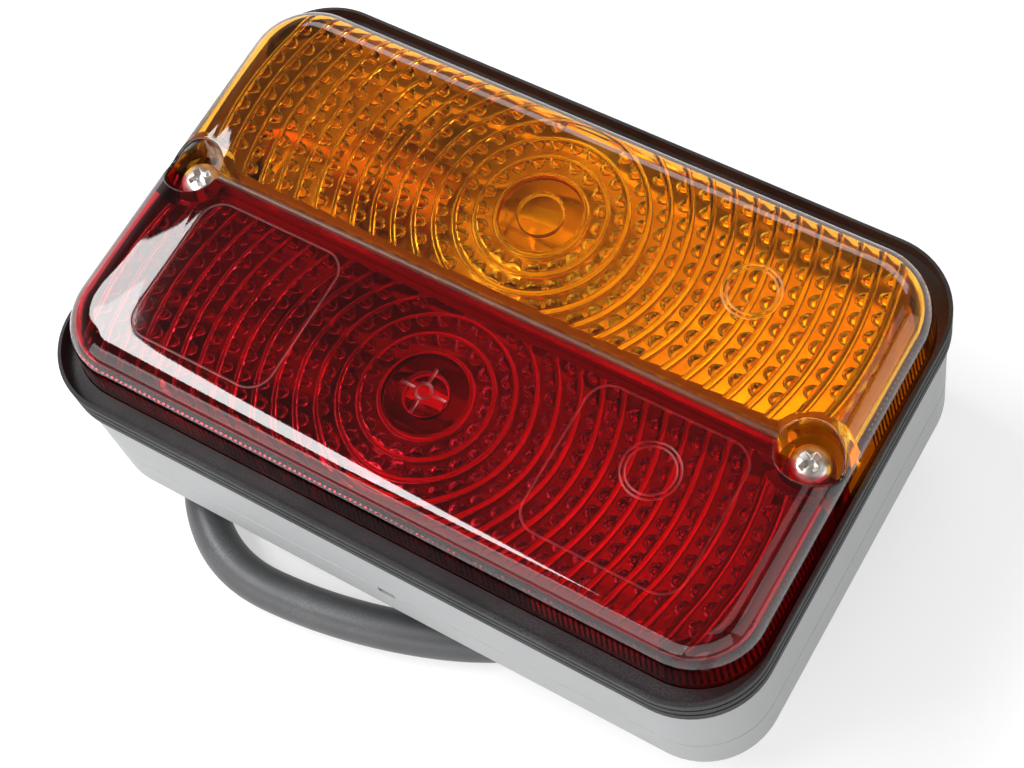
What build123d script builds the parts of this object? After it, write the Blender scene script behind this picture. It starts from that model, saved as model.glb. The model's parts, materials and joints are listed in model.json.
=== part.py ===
"""Rectangular two-colour rear lamp for a work machine, held by two studs.

Millimetres. X runs along the lamp, Y across it with the amber half on +Y and the red half on -Y,
Z out of the lens. The origin is on the back plane, midway between the studs.
"""
import os
from math import radians, tan

from build123d import *

os.makedirs("parts", exist_ok=True)

# Outline of the grey base
BASE_LENGTH = 156.4
BASE_WIDTH = 100.8
BASE_CORNER = 15.7
WALL = 2.5

# Rear cover
COVER_HEIGHT = 11.7
COVER_PLATE = 2.5
COVER_EDGE = 1.2
PARTING_CHAMFER = 0.4
DRAIN_WIDTH = 4.0
DRAIN_HEIGHT = 2.2

# Housing
HOUSING_HEIGHT = 20.3
FLOOR = 2.5
DIVIDER = 2.0
PILLAR_D = 9.6
BOSS_D = 8.0

# Rim gasket
RIM_OVERHANG = 0.8
RIM_HEIGHT = 7.6
RIM_BED = 2.5
RIM_LIP = 1.35
RIM_LIP_TOP = 0.8
RIM_GRIP = 2.0
RIM_BED_INNER = 1.0
RIM_LEDGE = 3.0
RIDGE_DEPTH = 0.35
RIDGE_GAP = 0.7
SIDE_GROOVES = 2
RIM_EDGE = 0.4

# Lens
LENS_HEIGHT = 16.0
LENS_DRAFT = 6.0
LENS_WALL = 2.2
LENS_FACE = 2.3
LENS_SHOULDER = 8.0
LENS_INNER_ROUND = 5.0
LENS_SIDE_INSET = 3.0
LENS_CLEAR = 0.15
SEAM_WALL = 3.4
SEAM_DEPTH = 12.5
SEAM_ROUND = 0.9
WELL_D = 12.4
WELL_LIP = 0.5
WELL_WALL = 2.4
WELL_DEPTH = 8.0
WELL_FLOOR = 2.5
SCREW_INSET = 9.2

# Ring optics on the inside of the lens face
RING_BUTTON_D = 9.6
RING_FIRST_R = 8.45
RING_PITCH = 4.05
RING_DEPTH = 1.8
RING_THIN = 0.3
RING_DRAFT = 0.45
RING_TIP = 0.45
RING_ROOT = 0.3
BUTTON_ROUND = 0.6
RING_COUNT = 16

# Lens screws and their inserts
SCREW_D = 4.0
SCREW_LENGTH = 16.0
SCREW_HEAD_D = 8.2
SCREW_HEAD = 3.0
SCREW_HEAD_ROUND = 1.5
RECESS_WIDTH = 1.0
RECESS_SPAN = 4.8
RECESS_DEPTH = 1.6
FIT = 0.15
INSERT_D = 5.6
INSERT_LENGTH = 8.0

# Cover screws
COVER_SCREW_D = 3.5
COVER_SCREW_HEAD_D = 6.8
COVER_SCREW_HEAD = 2.2
COVER_SCREW_LENGTH = 9.6
COVER_SCREW_SINK = 2.7
COVER_PAD_D = 11.0
COVER_PAD = 3.0
COVER_SCREW_INSET_X = 18.2
COVER_SCREW_INSET_Y = 12.4

# Studs
STUD_D = 6.0
STUD_SPACING = 50.0
STUD_LENGTH = 14.0
STUD_COLLAR_D = 7.4
STUD_SHANK_D = 5.0
STUD_HEAD_D = 8.0
STUD_HEAD = 1.0
STRIP_LENGTH = 72.0
STRIP_WIDTH = 16.0
STRIP = 2.0
STRIP_POST_D = 7.0
STRIP_POST_SPACING = 24.0

# Bulbs: the filament sits over the ring centre
LAMP_PITCH = 43.0
LAMP_RISE = 15.8
GLASS_D = 25.0
GLASS_WALL = 0.9
GLASS_NECK_D = 13.6
GLASS_NECK = 5.0
CAP_REACH = 20.0
CAP_D = 15.0
CAP_LENGTH = 19.0
CAP_TAPER = 3.0
CAP_CONTACT_D = 5.2
CAP_CONTACT = 1.5
BAYONET_D = 2.0
BAYONET_OUT = 1.2
BAYONET_X = 11.75
FILAMENT_D = 1.2
FILAMENT_LENGTH = 6.0
POST_D = 0.9

# Sockets
SHELL = 0.8
SHELL_LENGTH = 18.5
SHELL_LIP = 1.0
SHELL_LIP_OPEN = 10.0
SHELL_CLEAR = 0.25
SHELL_FLANGE_D = 20.6
SHELL_FLANGE = 1.0
SHELL_FLANGE_BACK = 9.0
SLOT_WIDTH = 2.6
INSULATOR = 1.6
PIN_D = 2.4
PIN_HEAD_D = 5.2
PIN_HEAD = 1.9
PIN_TAIL = 6.5
PIN_COLLAR_D = 4.0
PIN_COLLAR = 0.8
PIN_COLLAR_OUT = 2.2
SLEEVE_WALL = 0.8
SLEEVE_LENGTH = 7.5

# Brackets, rivets and earth strap
BRACKET = 1.2
BRACKET_WIDTH = 22.0
BRACKET_FOOT = 14.0
BRACKET_ROUND = 8.0
RIVET_D = 3.0
RIVET_HEAD_D = 4.8
RIVET_HEAD = 1.2
RIVET_PITCH = 15.0
RIVET_FORWARD = 7.0
STRAP = 0.8
STRAP_WIDTH = 6.0
STRAP_TAB = 5.0

# Reflectors
TRAY_HEIGHT = 12.8
TRAY_FLARE = 5.4
TRAY_WALL = 1.2
TRAY_GAP = 0.7
TRAY_END_GAP = 5.0
TRAY_CORNER = 5.0

# Wires
WIRE_D = 2.2
WIRE_HOLE = 4.4
WIRE_SLOT = 10.0
WIRE_RUN_HEIGHT = 4.8
WIRE_EARTH_HEIGHT = 3.6

# Cable sleeve, its boot and its plug; the route is measured from the base's end at -X
CABLE_D = 9.0
CABLE_DROP = 9.5
CABLE_ROUTE = [(14.2, 8), (9.7, -24.5), (30.2, -58), (66.2, -56.2), (102.2, -43.4), (122.2, -20), (122.2, 4)]
BOOT_NOSE = 13.0
BOOT_D = 12.6
BOOT_NOSE_D = 11.0
BOOT_NECK_D = 14.0
BOOT_FLANGE_D = 17.0
BOOT_FLANGE = 1.6
BOOT_DISC = 2.0
BOOT_RIB = 0.5
BOOT_RIB_LENGTH = 1.2
PLUG_LENGTH = 26.0
PLUG_WIDTH = 15.0
PLUG_HEIGHT = 9.0
PLUG_CORNER = 1.6
PLUG_NECK = 5.0
PLUG_PIN_D = 2.4
PLUG_PIN = 7.0
PLUG_PIN_PITCH = 4.0
PLUG_PINS = 3
PLUG_LATCH = 1.0
PLUG_LATCH_WIDTH = 5.0
PLUG_LATCH_LENGTH = 6.0

# Levels and places that follow from the sizes above
PARTING_Z = COVER_HEIGHT
FLOOR_Z = PARTING_Z + FLOOR
RIM_Z = PARTING_Z + HOUSING_HEIGHT
SEAT_Z = RIM_Z + RIM_BED
LENS_TOP = SEAT_Z + LENS_HEIGHT
LENS_INSIDE = LENS_TOP - LENS_FACE
SEAM_Z = LENS_TOP - SEAM_DEPTH
SCREW_SEAT = LENS_TOP - WELL_DEPTH
PILLAR_Z = SCREW_SEAT - WELL_FLOOR
STRIP_Z = COVER_PLATE + STRIP
PAD_Z = COVER_PLATE + COVER_PAD
SCREW_X = BASE_LENGTH / 2 - SCREW_INSET
COVER_SCREW_X = BASE_LENGTH / 2 - COVER_SCREW_INSET_X
COVER_SCREW_Y = BASE_WIDTH / 2 - COVER_SCREW_INSET_Y
LAMP_Y = LAMP_PITCH / 2
LAMP_Z = FLOOR_Z + LAMP_RISE
TRAY_Z = FLOOR_Z + TRAY_WALL
CAP_BACK = -CAP_REACH - CAP_LENGTH
CONTACT_X = CAP_BACK - CAP_CONTACT
INSULATOR_X = CONTACT_X - PIN_HEAD
LIP_X = INSULATOR_X - INSULATOR
SHELL_BACK = LIP_X - SHELL_LIP
SHELL_FRONT = SHELL_BACK + SHELL_LENGTH
SHELL_R = CAP_D / 2 + SHELL_CLEAR
TAB_FRONT = SHELL_BACK + SHELL_FLANGE_BACK
PIN_END = SHELL_BACK - PIN_TAIL
SLEEVE_X = SHELL_BACK - PIN_COLLAR_OUT - PIN_COLLAR
RIVET_X = TAB_FRONT + RIVET_FORWARD
STRAP_Z = PARTING_Z - STRAP
CABLE_Z = -CABLE_DROP
LENS_GROW = RIM_OVERHANG - RIM_LIP - LENS_CLEAR
BOTH_SCREWS = [(-SCREW_X, 0), (SCREW_X, 0)]
BOTH_STUDS = [(-STUD_SPACING / 2, 0), (STUD_SPACING / 2, 0)]

LOW = (Align.CENTER, Align.CENTER, Align.MIN)
HIGH = (Align.CENTER, Align.CENTER, Align.MAX)
LAMP_AXIS = Axis((0, LAMP_Y, LAMP_Z), (1, 0, 0))
LAMP_PLANE = Plane(origin=(0, LAMP_Y, LAMP_Z), x_dir=(1, 0, 0), z_dir=(0, -1, 0))


def outline(grow):
    """Length, width and corner of the base outline, offset outwards by grow."""
    return BASE_LENGTH + 2 * grow, BASE_WIDTH + 2 * grow, BASE_CORNER + grow


def lens_outline(grow):
    """The same for what follows the lens, which stands further in along its long sides."""
    length, width, corner = outline(grow)
    return length, width - 2 * LENS_SIDE_INSET, corner


def across(x):
    """Plane square to the lamp axis at x, for the amber bulb and its socket; its normal points to -X."""
    return Plane(origin=(x, LAMP_Y, LAMP_Z), x_dir=(0, 1, 0), z_dir=(-1, 0, 0))

# Cable route: straight runs joined by arcs as large as the runs allow
route_points = [Vector(x - BASE_LENGTH / 2, y, CABLE_Z) for x, y in CABLE_ROUTE]
route_runs = [b - a for a, b in zip(route_points, route_points[1:])]
route_radii = []
for before, after in zip(route_runs, route_runs[1:]):
    turn = before.get_angle(after)
    route_radii.append(0.45 * min(before.length, after.length) / tan(radians(turn / 2)))
print("cable arc radii:", [round(radius, 1) for radius in route_radii])
boot_way = route_runs[0].normalized()
plug_way = route_runs[-1].normalized()
boot_at = route_points[0] - boot_way * BOOT_NOSE
BOOT_X = boot_at.X
BOOT_Y = boot_at.Y
BOOT_TOP = COVER_PLATE + BOOT_DISC
WIRE_X = BOOT_X - WIRE_D
WIRE_SLOT_IN = (WIRE_SLOT - WIRE_HOLE) / 2
RUN_Z = BOOT_TOP + WIRE_RUN_HEIGHT
EARTH_Z = BOOT_TOP + WIRE_EARTH_HEIGHT
TAB_X = RIVET_X - STRAP_WIDTH / 2

# Rear cover: shallow tray that closes the wiring space and carries the studs
with BuildPart() as rear_cover:
    with BuildSketch():
        RectangleRounded(*outline(0))
    extrude(amount=COVER_HEIGHT)
    fillet(rear_cover.faces().sort_by(Axis.Z)[0].edges(), COVER_EDGE)
    chamfer(rear_cover.faces().sort_by(Axis.Z)[-1].edges(), PARTING_CHAMFER)
    with BuildSketch(Plane.XY.offset(COVER_PLATE)):
        RectangleRounded(*outline(-WALL))
    extrude(amount=COVER_HEIGHT - COVER_PLATE, mode=Mode.SUBTRACT)
    with BuildSketch(Plane.XY.offset(COVER_PLATE)):
        with GridLocations(2 * COVER_SCREW_X, 2 * COVER_SCREW_Y, 2, 2):
            Circle(COVER_PAD_D / 2)
    extrude(amount=COVER_PAD)
    with BuildSketch(Plane.XY.offset(COVER_PLATE)):
        Rectangle(STRIP_LENGTH + 2 * FIT + 2 * WALL, STRIP_WIDTH + 2 * FIT + 2 * WALL)
        Rectangle(STRIP_LENGTH + 2 * FIT, STRIP_WIDTH + 2 * FIT, mode=Mode.SUBTRACT)
    extrude(amount=STRIP)
    with BuildSketch():
        with GridLocations(2 * COVER_SCREW_X, 2 * COVER_SCREW_Y, 2, 2):
            Circle(COVER_SCREW_HEAD_D / 2 + FIT)
    extrude(amount=COVER_SCREW_SINK, mode=Mode.SUBTRACT)
    with BuildSketch():
        with GridLocations(2 * COVER_SCREW_X, 2 * COVER_SCREW_Y, 2, 2):
            Circle(COVER_SCREW_D / 2 + FIT)
        with Locations(*BOTH_STUDS):
            Circle(STUD_COLLAR_D / 2 + FIT)
        with Locations((BOOT_X, BOOT_Y)):
            Circle(BOOT_NECK_D / 2 + FIT)
    extrude(amount=PAD_Z, mode=Mode.SUBTRACT)
    with Locations((0, -BASE_WIDTH / 2, COVER_HEIGHT)):
        Box(DRAIN_WIDTH, 3 * WALL, 2 * DRAIN_HEIGHT, mode=Mode.SUBTRACT)
rear_cover.part.label = "rear_cover"
export_step(rear_cover.part, "parts/rear_cover.step")

# Housing: open tray with a ledge under the rim, the screw pillars, the light divider and the rear cover's bosses
with BuildPart() as housing:
    with BuildSketch(Plane.XY.offset(PARTING_Z)):
        RectangleRounded(*outline(0))
    extrude(amount=HOUSING_HEIGHT)
    chamfer(housing.faces().sort_by(Axis.Z)[0].edges(), PARTING_CHAMFER)
    with BuildSketch(Plane.XY.offset(FLOOR_Z)):
        RectangleRounded(*outline(-WALL))
    extrude(amount=HOUSING_HEIGHT - FLOOR, mode=Mode.SUBTRACT)
    with BuildSketch(Plane.XY.offset(RIM_Z - RIM_LEDGE)):
        RectangleRounded(*outline(-WALL / 2))
        RectangleRounded(*lens_outline(-WALL - RIM_BED_INNER), mode=Mode.SUBTRACT)
    extrude(amount=RIM_LEDGE)
    with BuildSketch(Plane.XY.offset(FLOOR_Z)):
        Rectangle(2 * SCREW_X, DIVIDER)
    extrude(amount=SEAM_Z - FLOOR_Z)
    with BuildSketch(Plane.XY.offset(FLOOR_Z)):
        with Locations(*BOTH_SCREWS):
            Circle(PILLAR_D / 2)
    extrude(amount=PILLAR_Z - FLOOR_Z)
    with BuildSketch(Plane.XY.offset(PAD_Z)):
        with GridLocations(2 * COVER_SCREW_X, 2 * COVER_SCREW_Y, 2, 2):
            Circle(BOSS_D / 2)
    extrude(amount=PARTING_Z - PAD_Z)
    with BuildSketch(Plane.XY.offset(STRIP_Z)):
        with Locations((-STRIP_POST_SPACING / 2, 0), (STRIP_POST_SPACING / 2, 0)):
            Circle(STRIP_POST_D / 2)
    extrude(amount=PARTING_Z - STRIP_Z)
    with BuildSketch(Plane.XY.offset(PILLAR_Z)):
        with Locations(*BOTH_SCREWS):
            Circle(INSERT_D / 2 + FIT)
    extrude(amount=-INSERT_LENGTH, mode=Mode.SUBTRACT)
    with BuildSketch(Plane.XY.offset(PILLAR_Z)):
        with Locations(*BOTH_SCREWS):
            Circle(SCREW_D / 2 + FIT)
    extrude(amount=-SCREW_LENGTH, mode=Mode.SUBTRACT)
    with BuildSketch(Plane.XY.offset(PAD_Z)):
        with GridLocations(2 * COVER_SCREW_X, 2 * COVER_SCREW_Y, 2, 2):
            Circle(COVER_SCREW_D / 2 + FIT)
    extrude(amount=COVER_SCREW_SINK + COVER_SCREW_LENGTH - PAD_Z + FIT, mode=Mode.SUBTRACT)
    with BuildSketch(Plane.XY.offset(PARTING_Z)):
        with Locations((WIRE_X, LAMP_Y - WIRE_SLOT_IN), (WIRE_X, WIRE_SLOT_IN - LAMP_Y)):
            SlotOverall(WIRE_SLOT, WIRE_HOLE, rotation=90)
        with GridLocations(0, RIVET_PITCH, 1, 2):
            with Locations((RIVET_X, LAMP_Y), (RIVET_X, -LAMP_Y)):
                Circle(RIVET_D / 2 + FIT)
    extrude(amount=FLOOR, mode=Mode.SUBTRACT)
housing.part.label = "housing"
export_step(housing.part, "parts/housing.step")

# Rim gasket: rubber channel that grips the lens skirt, ridged on its side and open round the lens above
with BuildPart() as rim_gasket:
    with BuildSketch(Plane.XY.offset(RIM_Z)):
        RectangleRounded(*outline(RIM_OVERHANG))
    extrude(amount=RIM_HEIGHT)
    fillet(rim_gasket.faces().sort_by(Axis.Z)[-1].edges(), RIM_EDGE)
    with BuildSketch(Plane.XY.offset(SEAT_Z)):
        RectangleRounded(*lens_outline(LENS_GROW + LENS_CLEAR))
    extrude(amount=RIM_HEIGHT - RIM_BED, taper=LENS_DRAFT, mode=Mode.SUBTRACT)
    with BuildSketch(Plane.XY.offset(RIM_Z)):
        RectangleRounded(*lens_outline(-WALL - RIM_BED_INNER))
    extrude(amount=RIM_BED, mode=Mode.SUBTRACT)
    for groove in range(SIDE_GROOVES):
        groove_z = RIM_Z + RIM_HEIGHT * (groove + 1) / (SIDE_GROOVES + 1)
        with BuildSketch(Plane.XY.offset(groove_z - RIDGE_GAP / 2)):
            RectangleRounded(*outline(RIM_OVERHANG + RIM_LIP))
            RectangleRounded(*outline(RIM_OVERHANG - RIDGE_DEPTH), mode=Mode.SUBTRACT)
        extrude(amount=RIDGE_GAP, mode=Mode.SUBTRACT)
    with BuildSketch(Plane.XY.offset(SEAT_Z + RIM_GRIP)):
        RectangleRounded(*outline(RIM_OVERHANG - RIM_LIP_TOP))
    extrude(amount=RIM_HEIGHT - RIM_BED - RIM_GRIP, mode=Mode.SUBTRACT)
rim_gasket.part.label = "rim_gasket"
export_step(rim_gasket.part, "parts/rim_gasket.step")

# Ring teeth under one lens face: a saw-tooth section turned about the bulb's centre
with BuildPart() as ring_teeth:
    with BuildSketch(Plane.XZ.offset(-LAMP_Y)) as tooth_section:
        with BuildLine():
            section = [(RING_FIRST_R, LENS_INSIDE + RING_DEPTH), (RING_FIRST_R, LENS_INSIDE - RING_THIN)]
            for ring in range(RING_COUNT):
                step_r = RING_FIRST_R + ring * RING_PITCH
                section.append((step_r + RING_DRAFT, LENS_INSIDE - RING_DEPTH))
                section.append((step_r + RING_PITCH, LENS_INSIDE - RING_THIN))
            section.append((RING_FIRST_R + RING_COUNT * RING_PITCH, LENS_INSIDE + RING_DEPTH))
            Polyline(*section, close=True)
        make_face()
        middle = LENS_INSIDE - (RING_THIN + RING_DEPTH) / 2
        fillet([v for v in tooth_section.vertices() if v.Y < middle], RING_TIP)
        inner = RING_FIRST_R + RING_PITCH / 2
        outer = RING_FIRST_R + (RING_COUNT - 0.5) * RING_PITCH
        roots = [v for v in tooth_section.vertices() if inner < v.X < outer and v.Y > middle + RING_TIP]
        fillet([v for v in roots if abs(v.Y - LENS_INSIDE + RING_THIN) < RING_THIN / 2], RING_ROOT)
    revolve(axis=Axis((0, LAMP_Y, 0), (0, 0, 1)))
    with BuildSketch(Plane.XZ.offset(-LAMP_Y)):
        with Locations((0, LENS_INSIDE)):
            button = Rectangle(RING_BUTTON_D / 2, 2 * RING_DEPTH, align=(Align.MIN, Align.CENTER))
        fillet(button.vertices().sort_by(Axis.Y)[:2].sort_by(Axis.X)[-1], BUTTON_ROUND)
    revolve(axis=Axis((0, LAMP_Y, 0), (0, 0, 1)))

# Space inside the amber half: the hollow less its seam wall, well bosses and ring teeth
with BuildPart() as lens_hollow:
    with BuildSketch(Plane.XY.offset(SEAT_Z)):
        RectangleRounded(*lens_outline(LENS_GROW - LENS_WALL))
    extrude(amount=LENS_INSIDE - SEAT_Z, taper=LENS_DRAFT)
    fillet(lens_hollow.faces().sort_by(Axis.Z)[-1].edges(), LENS_INNER_ROUND)
    with BuildSketch(Plane.XY.offset(PILLAR_Z)):
        with Locations(*BOTH_SCREWS):
            Circle(WELL_D / 2 + WELL_WALL)
    extrude(amount=LENS_TOP - PILLAR_Z, mode=Mode.SUBTRACT)
    with BuildSketch(Plane.XY.offset(SEAM_Z)):
        Rectangle(2 * SCREW_X - PILLAR_D - 2 * FIT, 2 * SEAM_WALL)
    extrude(amount=LENS_TOP - SEAM_Z, mode=Mode.SUBTRACT)
    add(ring_teeth.part, mode=Mode.SUBTRACT)


def on_well_rim(edge):
    """Whether an edge runs round the mouth of a screw well."""
    points = [edge @ share for share in (0, 0.5, 1)]
    round_it = all(abs(Vector(abs(p.X) - SCREW_X, p.Y, 0).length - WELL_D / 2) < FIT for p in points)
    return round_it and min(p.Z for p in points) > SCREW_SEAT + WELL_LIP


# Amber lens: half of the tray, with half of each screw well
with BuildPart() as amber_lens:
    with BuildSketch(Plane.XY.offset(SEAT_Z)):
        RectangleRounded(*lens_outline(LENS_GROW))
    extrude(amount=LENS_HEIGHT, taper=LENS_DRAFT)
    fillet(amber_lens.faces().sort_by(Axis.Z)[-1].edges(), LENS_SHOULDER)
    with BuildSketch(Plane.XY.offset(SCREW_SEAT)):
        with Locations(*BOTH_SCREWS):
            Circle(WELL_D / 2)
    extrude(amount=WELL_DEPTH, mode=Mode.SUBTRACT)
    fillet(amber_lens.edges().filter_by(on_well_rim), WELL_LIP)
    split(bisect_by=Plane.XZ, keep=Keep.BOTTOM)
    with BuildSketch(Plane.YZ):
        with BuildLine():
            Polyline((0, LENS_TOP - SEAM_ROUND), (0, LENS_TOP), (SEAM_ROUND, LENS_TOP))
            RadiusArc((SEAM_ROUND, LENS_TOP), (0, LENS_TOP - SEAM_ROUND), SEAM_ROUND)
        make_face()
    extrude(amount=SCREW_X, both=True, mode=Mode.SUBTRACT)
    add(lens_hollow.part, mode=Mode.SUBTRACT)
    with BuildSketch(Plane.XY.offset(PILLAR_Z)):
        with Locations(*BOTH_SCREWS):
            Circle(SCREW_D / 2 + FIT)
    extrude(amount=WELL_FLOOR, mode=Mode.SUBTRACT)
amber_lens.part.label = "amber_lens"
export_step(amber_lens.part, "parts/amber_lens.step")

# Red lens: the same moulding, mirrored
with BuildPart() as red_lens:
    mirror(amber_lens.part, about=Plane.XZ)
red_lens.part.label = "red_lens"
export_step(red_lens.part, "parts/red_lens.step")

# Lens screws: pan heads with a cross recess
with BuildPart() as lens_screws:
    with Locations(*[(x, y, SCREW_SEAT) for x, y in BOTH_SCREWS]):
        Cylinder(SCREW_HEAD_D / 2, SCREW_HEAD, align=LOW)
    fillet(lens_screws.edges().group_by(Axis.Z)[-1], SCREW_HEAD_ROUND)
    with Locations(*[(x, y, SCREW_SEAT) for x, y in BOTH_SCREWS]):
        Cylinder(SCREW_D / 2, SCREW_LENGTH, align=HIGH)
    with Locations(*[(x, y, SCREW_SEAT + SCREW_HEAD) for x, y in BOTH_SCREWS]):
        Box(RECESS_SPAN, RECESS_WIDTH, 2 * RECESS_DEPTH, mode=Mode.SUBTRACT)
        Box(RECESS_WIDTH, RECESS_SPAN, 2 * RECESS_DEPTH, mode=Mode.SUBTRACT)
lens_screws.part.label = "lens_screws"
export_step(lens_screws.part, "parts/lens_screws.step")

# Screw inserts: brass bushes let into the pillars
with BuildPart() as screw_inserts:
    with BuildSketch(Plane.XY.offset(PILLAR_Z)):
        with Locations(*BOTH_SCREWS):
            Circle(INSERT_D / 2)
            Circle(SCREW_D / 2 + FIT, mode=Mode.SUBTRACT)
    extrude(amount=-INSERT_LENGTH)
screw_inserts.part.label = "screw_inserts"
export_step(screw_inserts.part, "parts/screw_inserts.step")

# Cover screws, driven from the back
with BuildPart() as cover_screws:
    with BuildSketch(Plane.XY.offset(COVER_SCREW_SINK)):
        with GridLocations(2 * COVER_SCREW_X, 2 * COVER_SCREW_Y, 2, 2):
            Circle(COVER_SCREW_HEAD_D / 2)
    extrude(amount=-COVER_SCREW_HEAD)
    with BuildSketch(Plane.XY.offset(COVER_SCREW_SINK)):
        with GridLocations(2 * COVER_SCREW_X, 2 * COVER_SCREW_Y, 2, 2):
            Circle(COVER_SCREW_D / 2)
    extrude(amount=COVER_SCREW_LENGTH)
    with BuildSketch(Plane.XY.offset(COVER_SCREW_SINK - COVER_SCREW_HEAD)):
        with GridLocations(2 * COVER_SCREW_X, 2 * COVER_SCREW_Y, 2, 2):
            Rectangle(RECESS_SPAN, RECESS_WIDTH)
            Rectangle(RECESS_WIDTH, RECESS_SPAN)
    extrude(amount=COVER_SCREW_HEAD / 2, mode=Mode.SUBTRACT)
cover_screws.part.label = "cover_screws"
export_step(cover_screws.part, "parts/cover_screws.step")

# Stud strip: steel strip in the cover's pocket, between the cover and the housing's posts
with BuildPart() as stud_strip:
    with BuildSketch(Plane.XY.offset(COVER_PLATE)):
        Rectangle(STRIP_LENGTH, STRIP_WIDTH)
        with Locations(*BOTH_STUDS):
            Circle(STUD_SHANK_D / 2 + FIT, mode=Mode.SUBTRACT)
    extrude(amount=STRIP)
stud_strip.part.label = "stud_strip"
export_step(stud_strip.part, "parts/stud_strip.step")

# Mounting studs: collars in the cover's holes, shanks through the strip and headed over it
with BuildPart() as mounting_studs:
    with BuildSketch(Plane.XY.offset(-STUD_LENGTH)):
        with Locations(*BOTH_STUDS):
            Circle(STUD_D / 2)
    extrude(amount=STUD_LENGTH)
    chamfer(mounting_studs.edges().group_by(Axis.Z)[0], STUD_D / 8)
    with BuildSketch():
        with Locations(*BOTH_STUDS):
            Circle(STUD_COLLAR_D / 2)
    extrude(amount=COVER_PLATE)
    with BuildSketch(Plane.XY.offset(COVER_PLATE)):
        with Locations(*BOTH_STUDS):
            Circle(STUD_SHANK_D / 2)
    extrude(amount=STRIP)
    with BuildSketch(Plane.XY.offset(STRIP_Z)):
        with Locations(*BOTH_STUDS):
            Circle(STUD_HEAD_D / 2)
    extrude(amount=STUD_HEAD)
    fillet(mounting_studs.edges().group_by(Axis.Z)[-1], STUD_HEAD / 2)
mounting_studs.part.label = "mounting_studs"
export_step(mounting_studs.part, "parts/mounting_studs.step")

# Reflectors: bright trays with flared sides, one in each chamber
tray_length = 2 * (SCREW_X - PILLAR_D / 2 - TRAY_END_GAP)
tray_width = 2 * (LAMP_Y - DIVIDER / 2 - TRAY_GAP)
with BuildPart() as reflectors:
    with BuildSketch(Plane.XY.offset(FLOOR_Z)):
        with Locations((0, LAMP_Y)):
            RectangleRounded(tray_length - 2 * TRAY_FLARE, tray_width - 2 * TRAY_FLARE, TRAY_CORNER)
    with BuildSketch(Plane.XY.offset(FLOOR_Z + TRAY_HEIGHT)):
        with Locations((0, LAMP_Y)):
            RectangleRounded(tray_length, tray_width, TRAY_CORNER)
    loft(ruled=True)
    with BuildSketch(Plane.XY.offset(TRAY_Z)):
        with Locations((0, LAMP_Y)):
            RectangleRounded(
                tray_length - 2 * TRAY_FLARE - 2 * TRAY_WALL,
                tray_width - 2 * TRAY_FLARE - 2 * TRAY_WALL,
                TRAY_CORNER - TRAY_WALL,
            )
    with BuildSketch(Plane.XY.offset(FLOOR_Z + TRAY_HEIGHT)):
        with Locations((0, LAMP_Y)):
            RectangleRounded(tray_length - 2 * TRAY_WALL, tray_width - 2 * TRAY_WALL, TRAY_CORNER - TRAY_WALL)
    loft(ruled=True, mode=Mode.SUBTRACT)
    with BuildSketch(Plane.XY.offset(FLOOR_Z)):
        with Locations((RIVET_X, LAMP_Y - RIVET_PITCH / 2), (RIVET_X, LAMP_Y + RIVET_PITCH / 2)):
            Circle(RIVET_D / 2 + FIT)
    extrude(amount=TRAY_WALL, mode=Mode.SUBTRACT)
    mirror(about=Plane.XZ)
reflectors.part.label = "reflectors"
export_step(reflectors.part, "parts/reflectors.step")

# Socket brackets: bent steel, the foot on the reflector and the tab behind the shell's flange
with BuildPart() as socket_brackets:
    with BuildSketch(Plane.XY.offset(TRAY_Z)):
        with Locations((TAB_FRONT - BRACKET, LAMP_Y)):
            Rectangle(BRACKET_FOOT + BRACKET, BRACKET_WIDTH, align=(Align.MIN, Align.CENTER))
        with Locations((RIVET_X, LAMP_Y - RIVET_PITCH / 2), (RIVET_X, LAMP_Y + RIVET_PITCH / 2)):
            Circle(RIVET_D / 2 + FIT, mode=Mode.SUBTRACT)
    extrude(amount=BRACKET)
    with BuildSketch(across(TAB_FRONT)):
        with Locations((0, (LAMP_Z - TRAY_Z - BRACKET_WIDTH / 2) / 2)):
            Rectangle(BRACKET_WIDTH, LAMP_Z - TRAY_Z + BRACKET_WIDTH / 2)
        Circle(SHELL_R + SHELL + FIT, mode=Mode.SUBTRACT)
    extrude(amount=BRACKET)
    tab_corners = socket_brackets.edges().filter_by(Axis.X).group_by(Axis.Z)[-1]
    fillet(tab_corners, BRACKET_ROUND)
    mirror(about=Plane.XZ)
socket_brackets.part.label = "socket_brackets"
export_step(socket_brackets.part, "parts/socket_brackets.step")

# Socket shells: bayonet tubes with a back lip and a flange
with BuildPart() as socket_shells:
    with BuildSketch(across(SHELL_FRONT)):
        Circle(SHELL_R + SHELL)
        Circle(SHELL_R, mode=Mode.SUBTRACT)
    extrude(amount=SHELL_LENGTH)
    with BuildSketch(across(LIP_X)):
        Circle(SHELL_R + SHELL / 2)
        Circle(SHELL_LIP_OPEN / 2, mode=Mode.SUBTRACT)
    extrude(amount=SHELL_LIP)
    with BuildSketch(across(TAB_FRONT)):
        Circle(SHELL_FLANGE_D / 2)
        Circle(SHELL_R, mode=Mode.SUBTRACT)
    extrude(amount=-SHELL_FLANGE)
    with Locations((SHELL_FRONT, LAMP_Y, LAMP_Z)):
        Box(
            2 * (SHELL_FRONT + CAP_REACH + BAYONET_X + SLOT_WIDTH / 2),
            SHELL_FLANGE_D,
            SLOT_WIDTH,
            mode=Mode.SUBTRACT,
        )
    mirror(about=Plane.XZ)
socket_shells.part.label = "socket_shells"
export_step(socket_shells.part, "parts/socket_shells.step")

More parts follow.
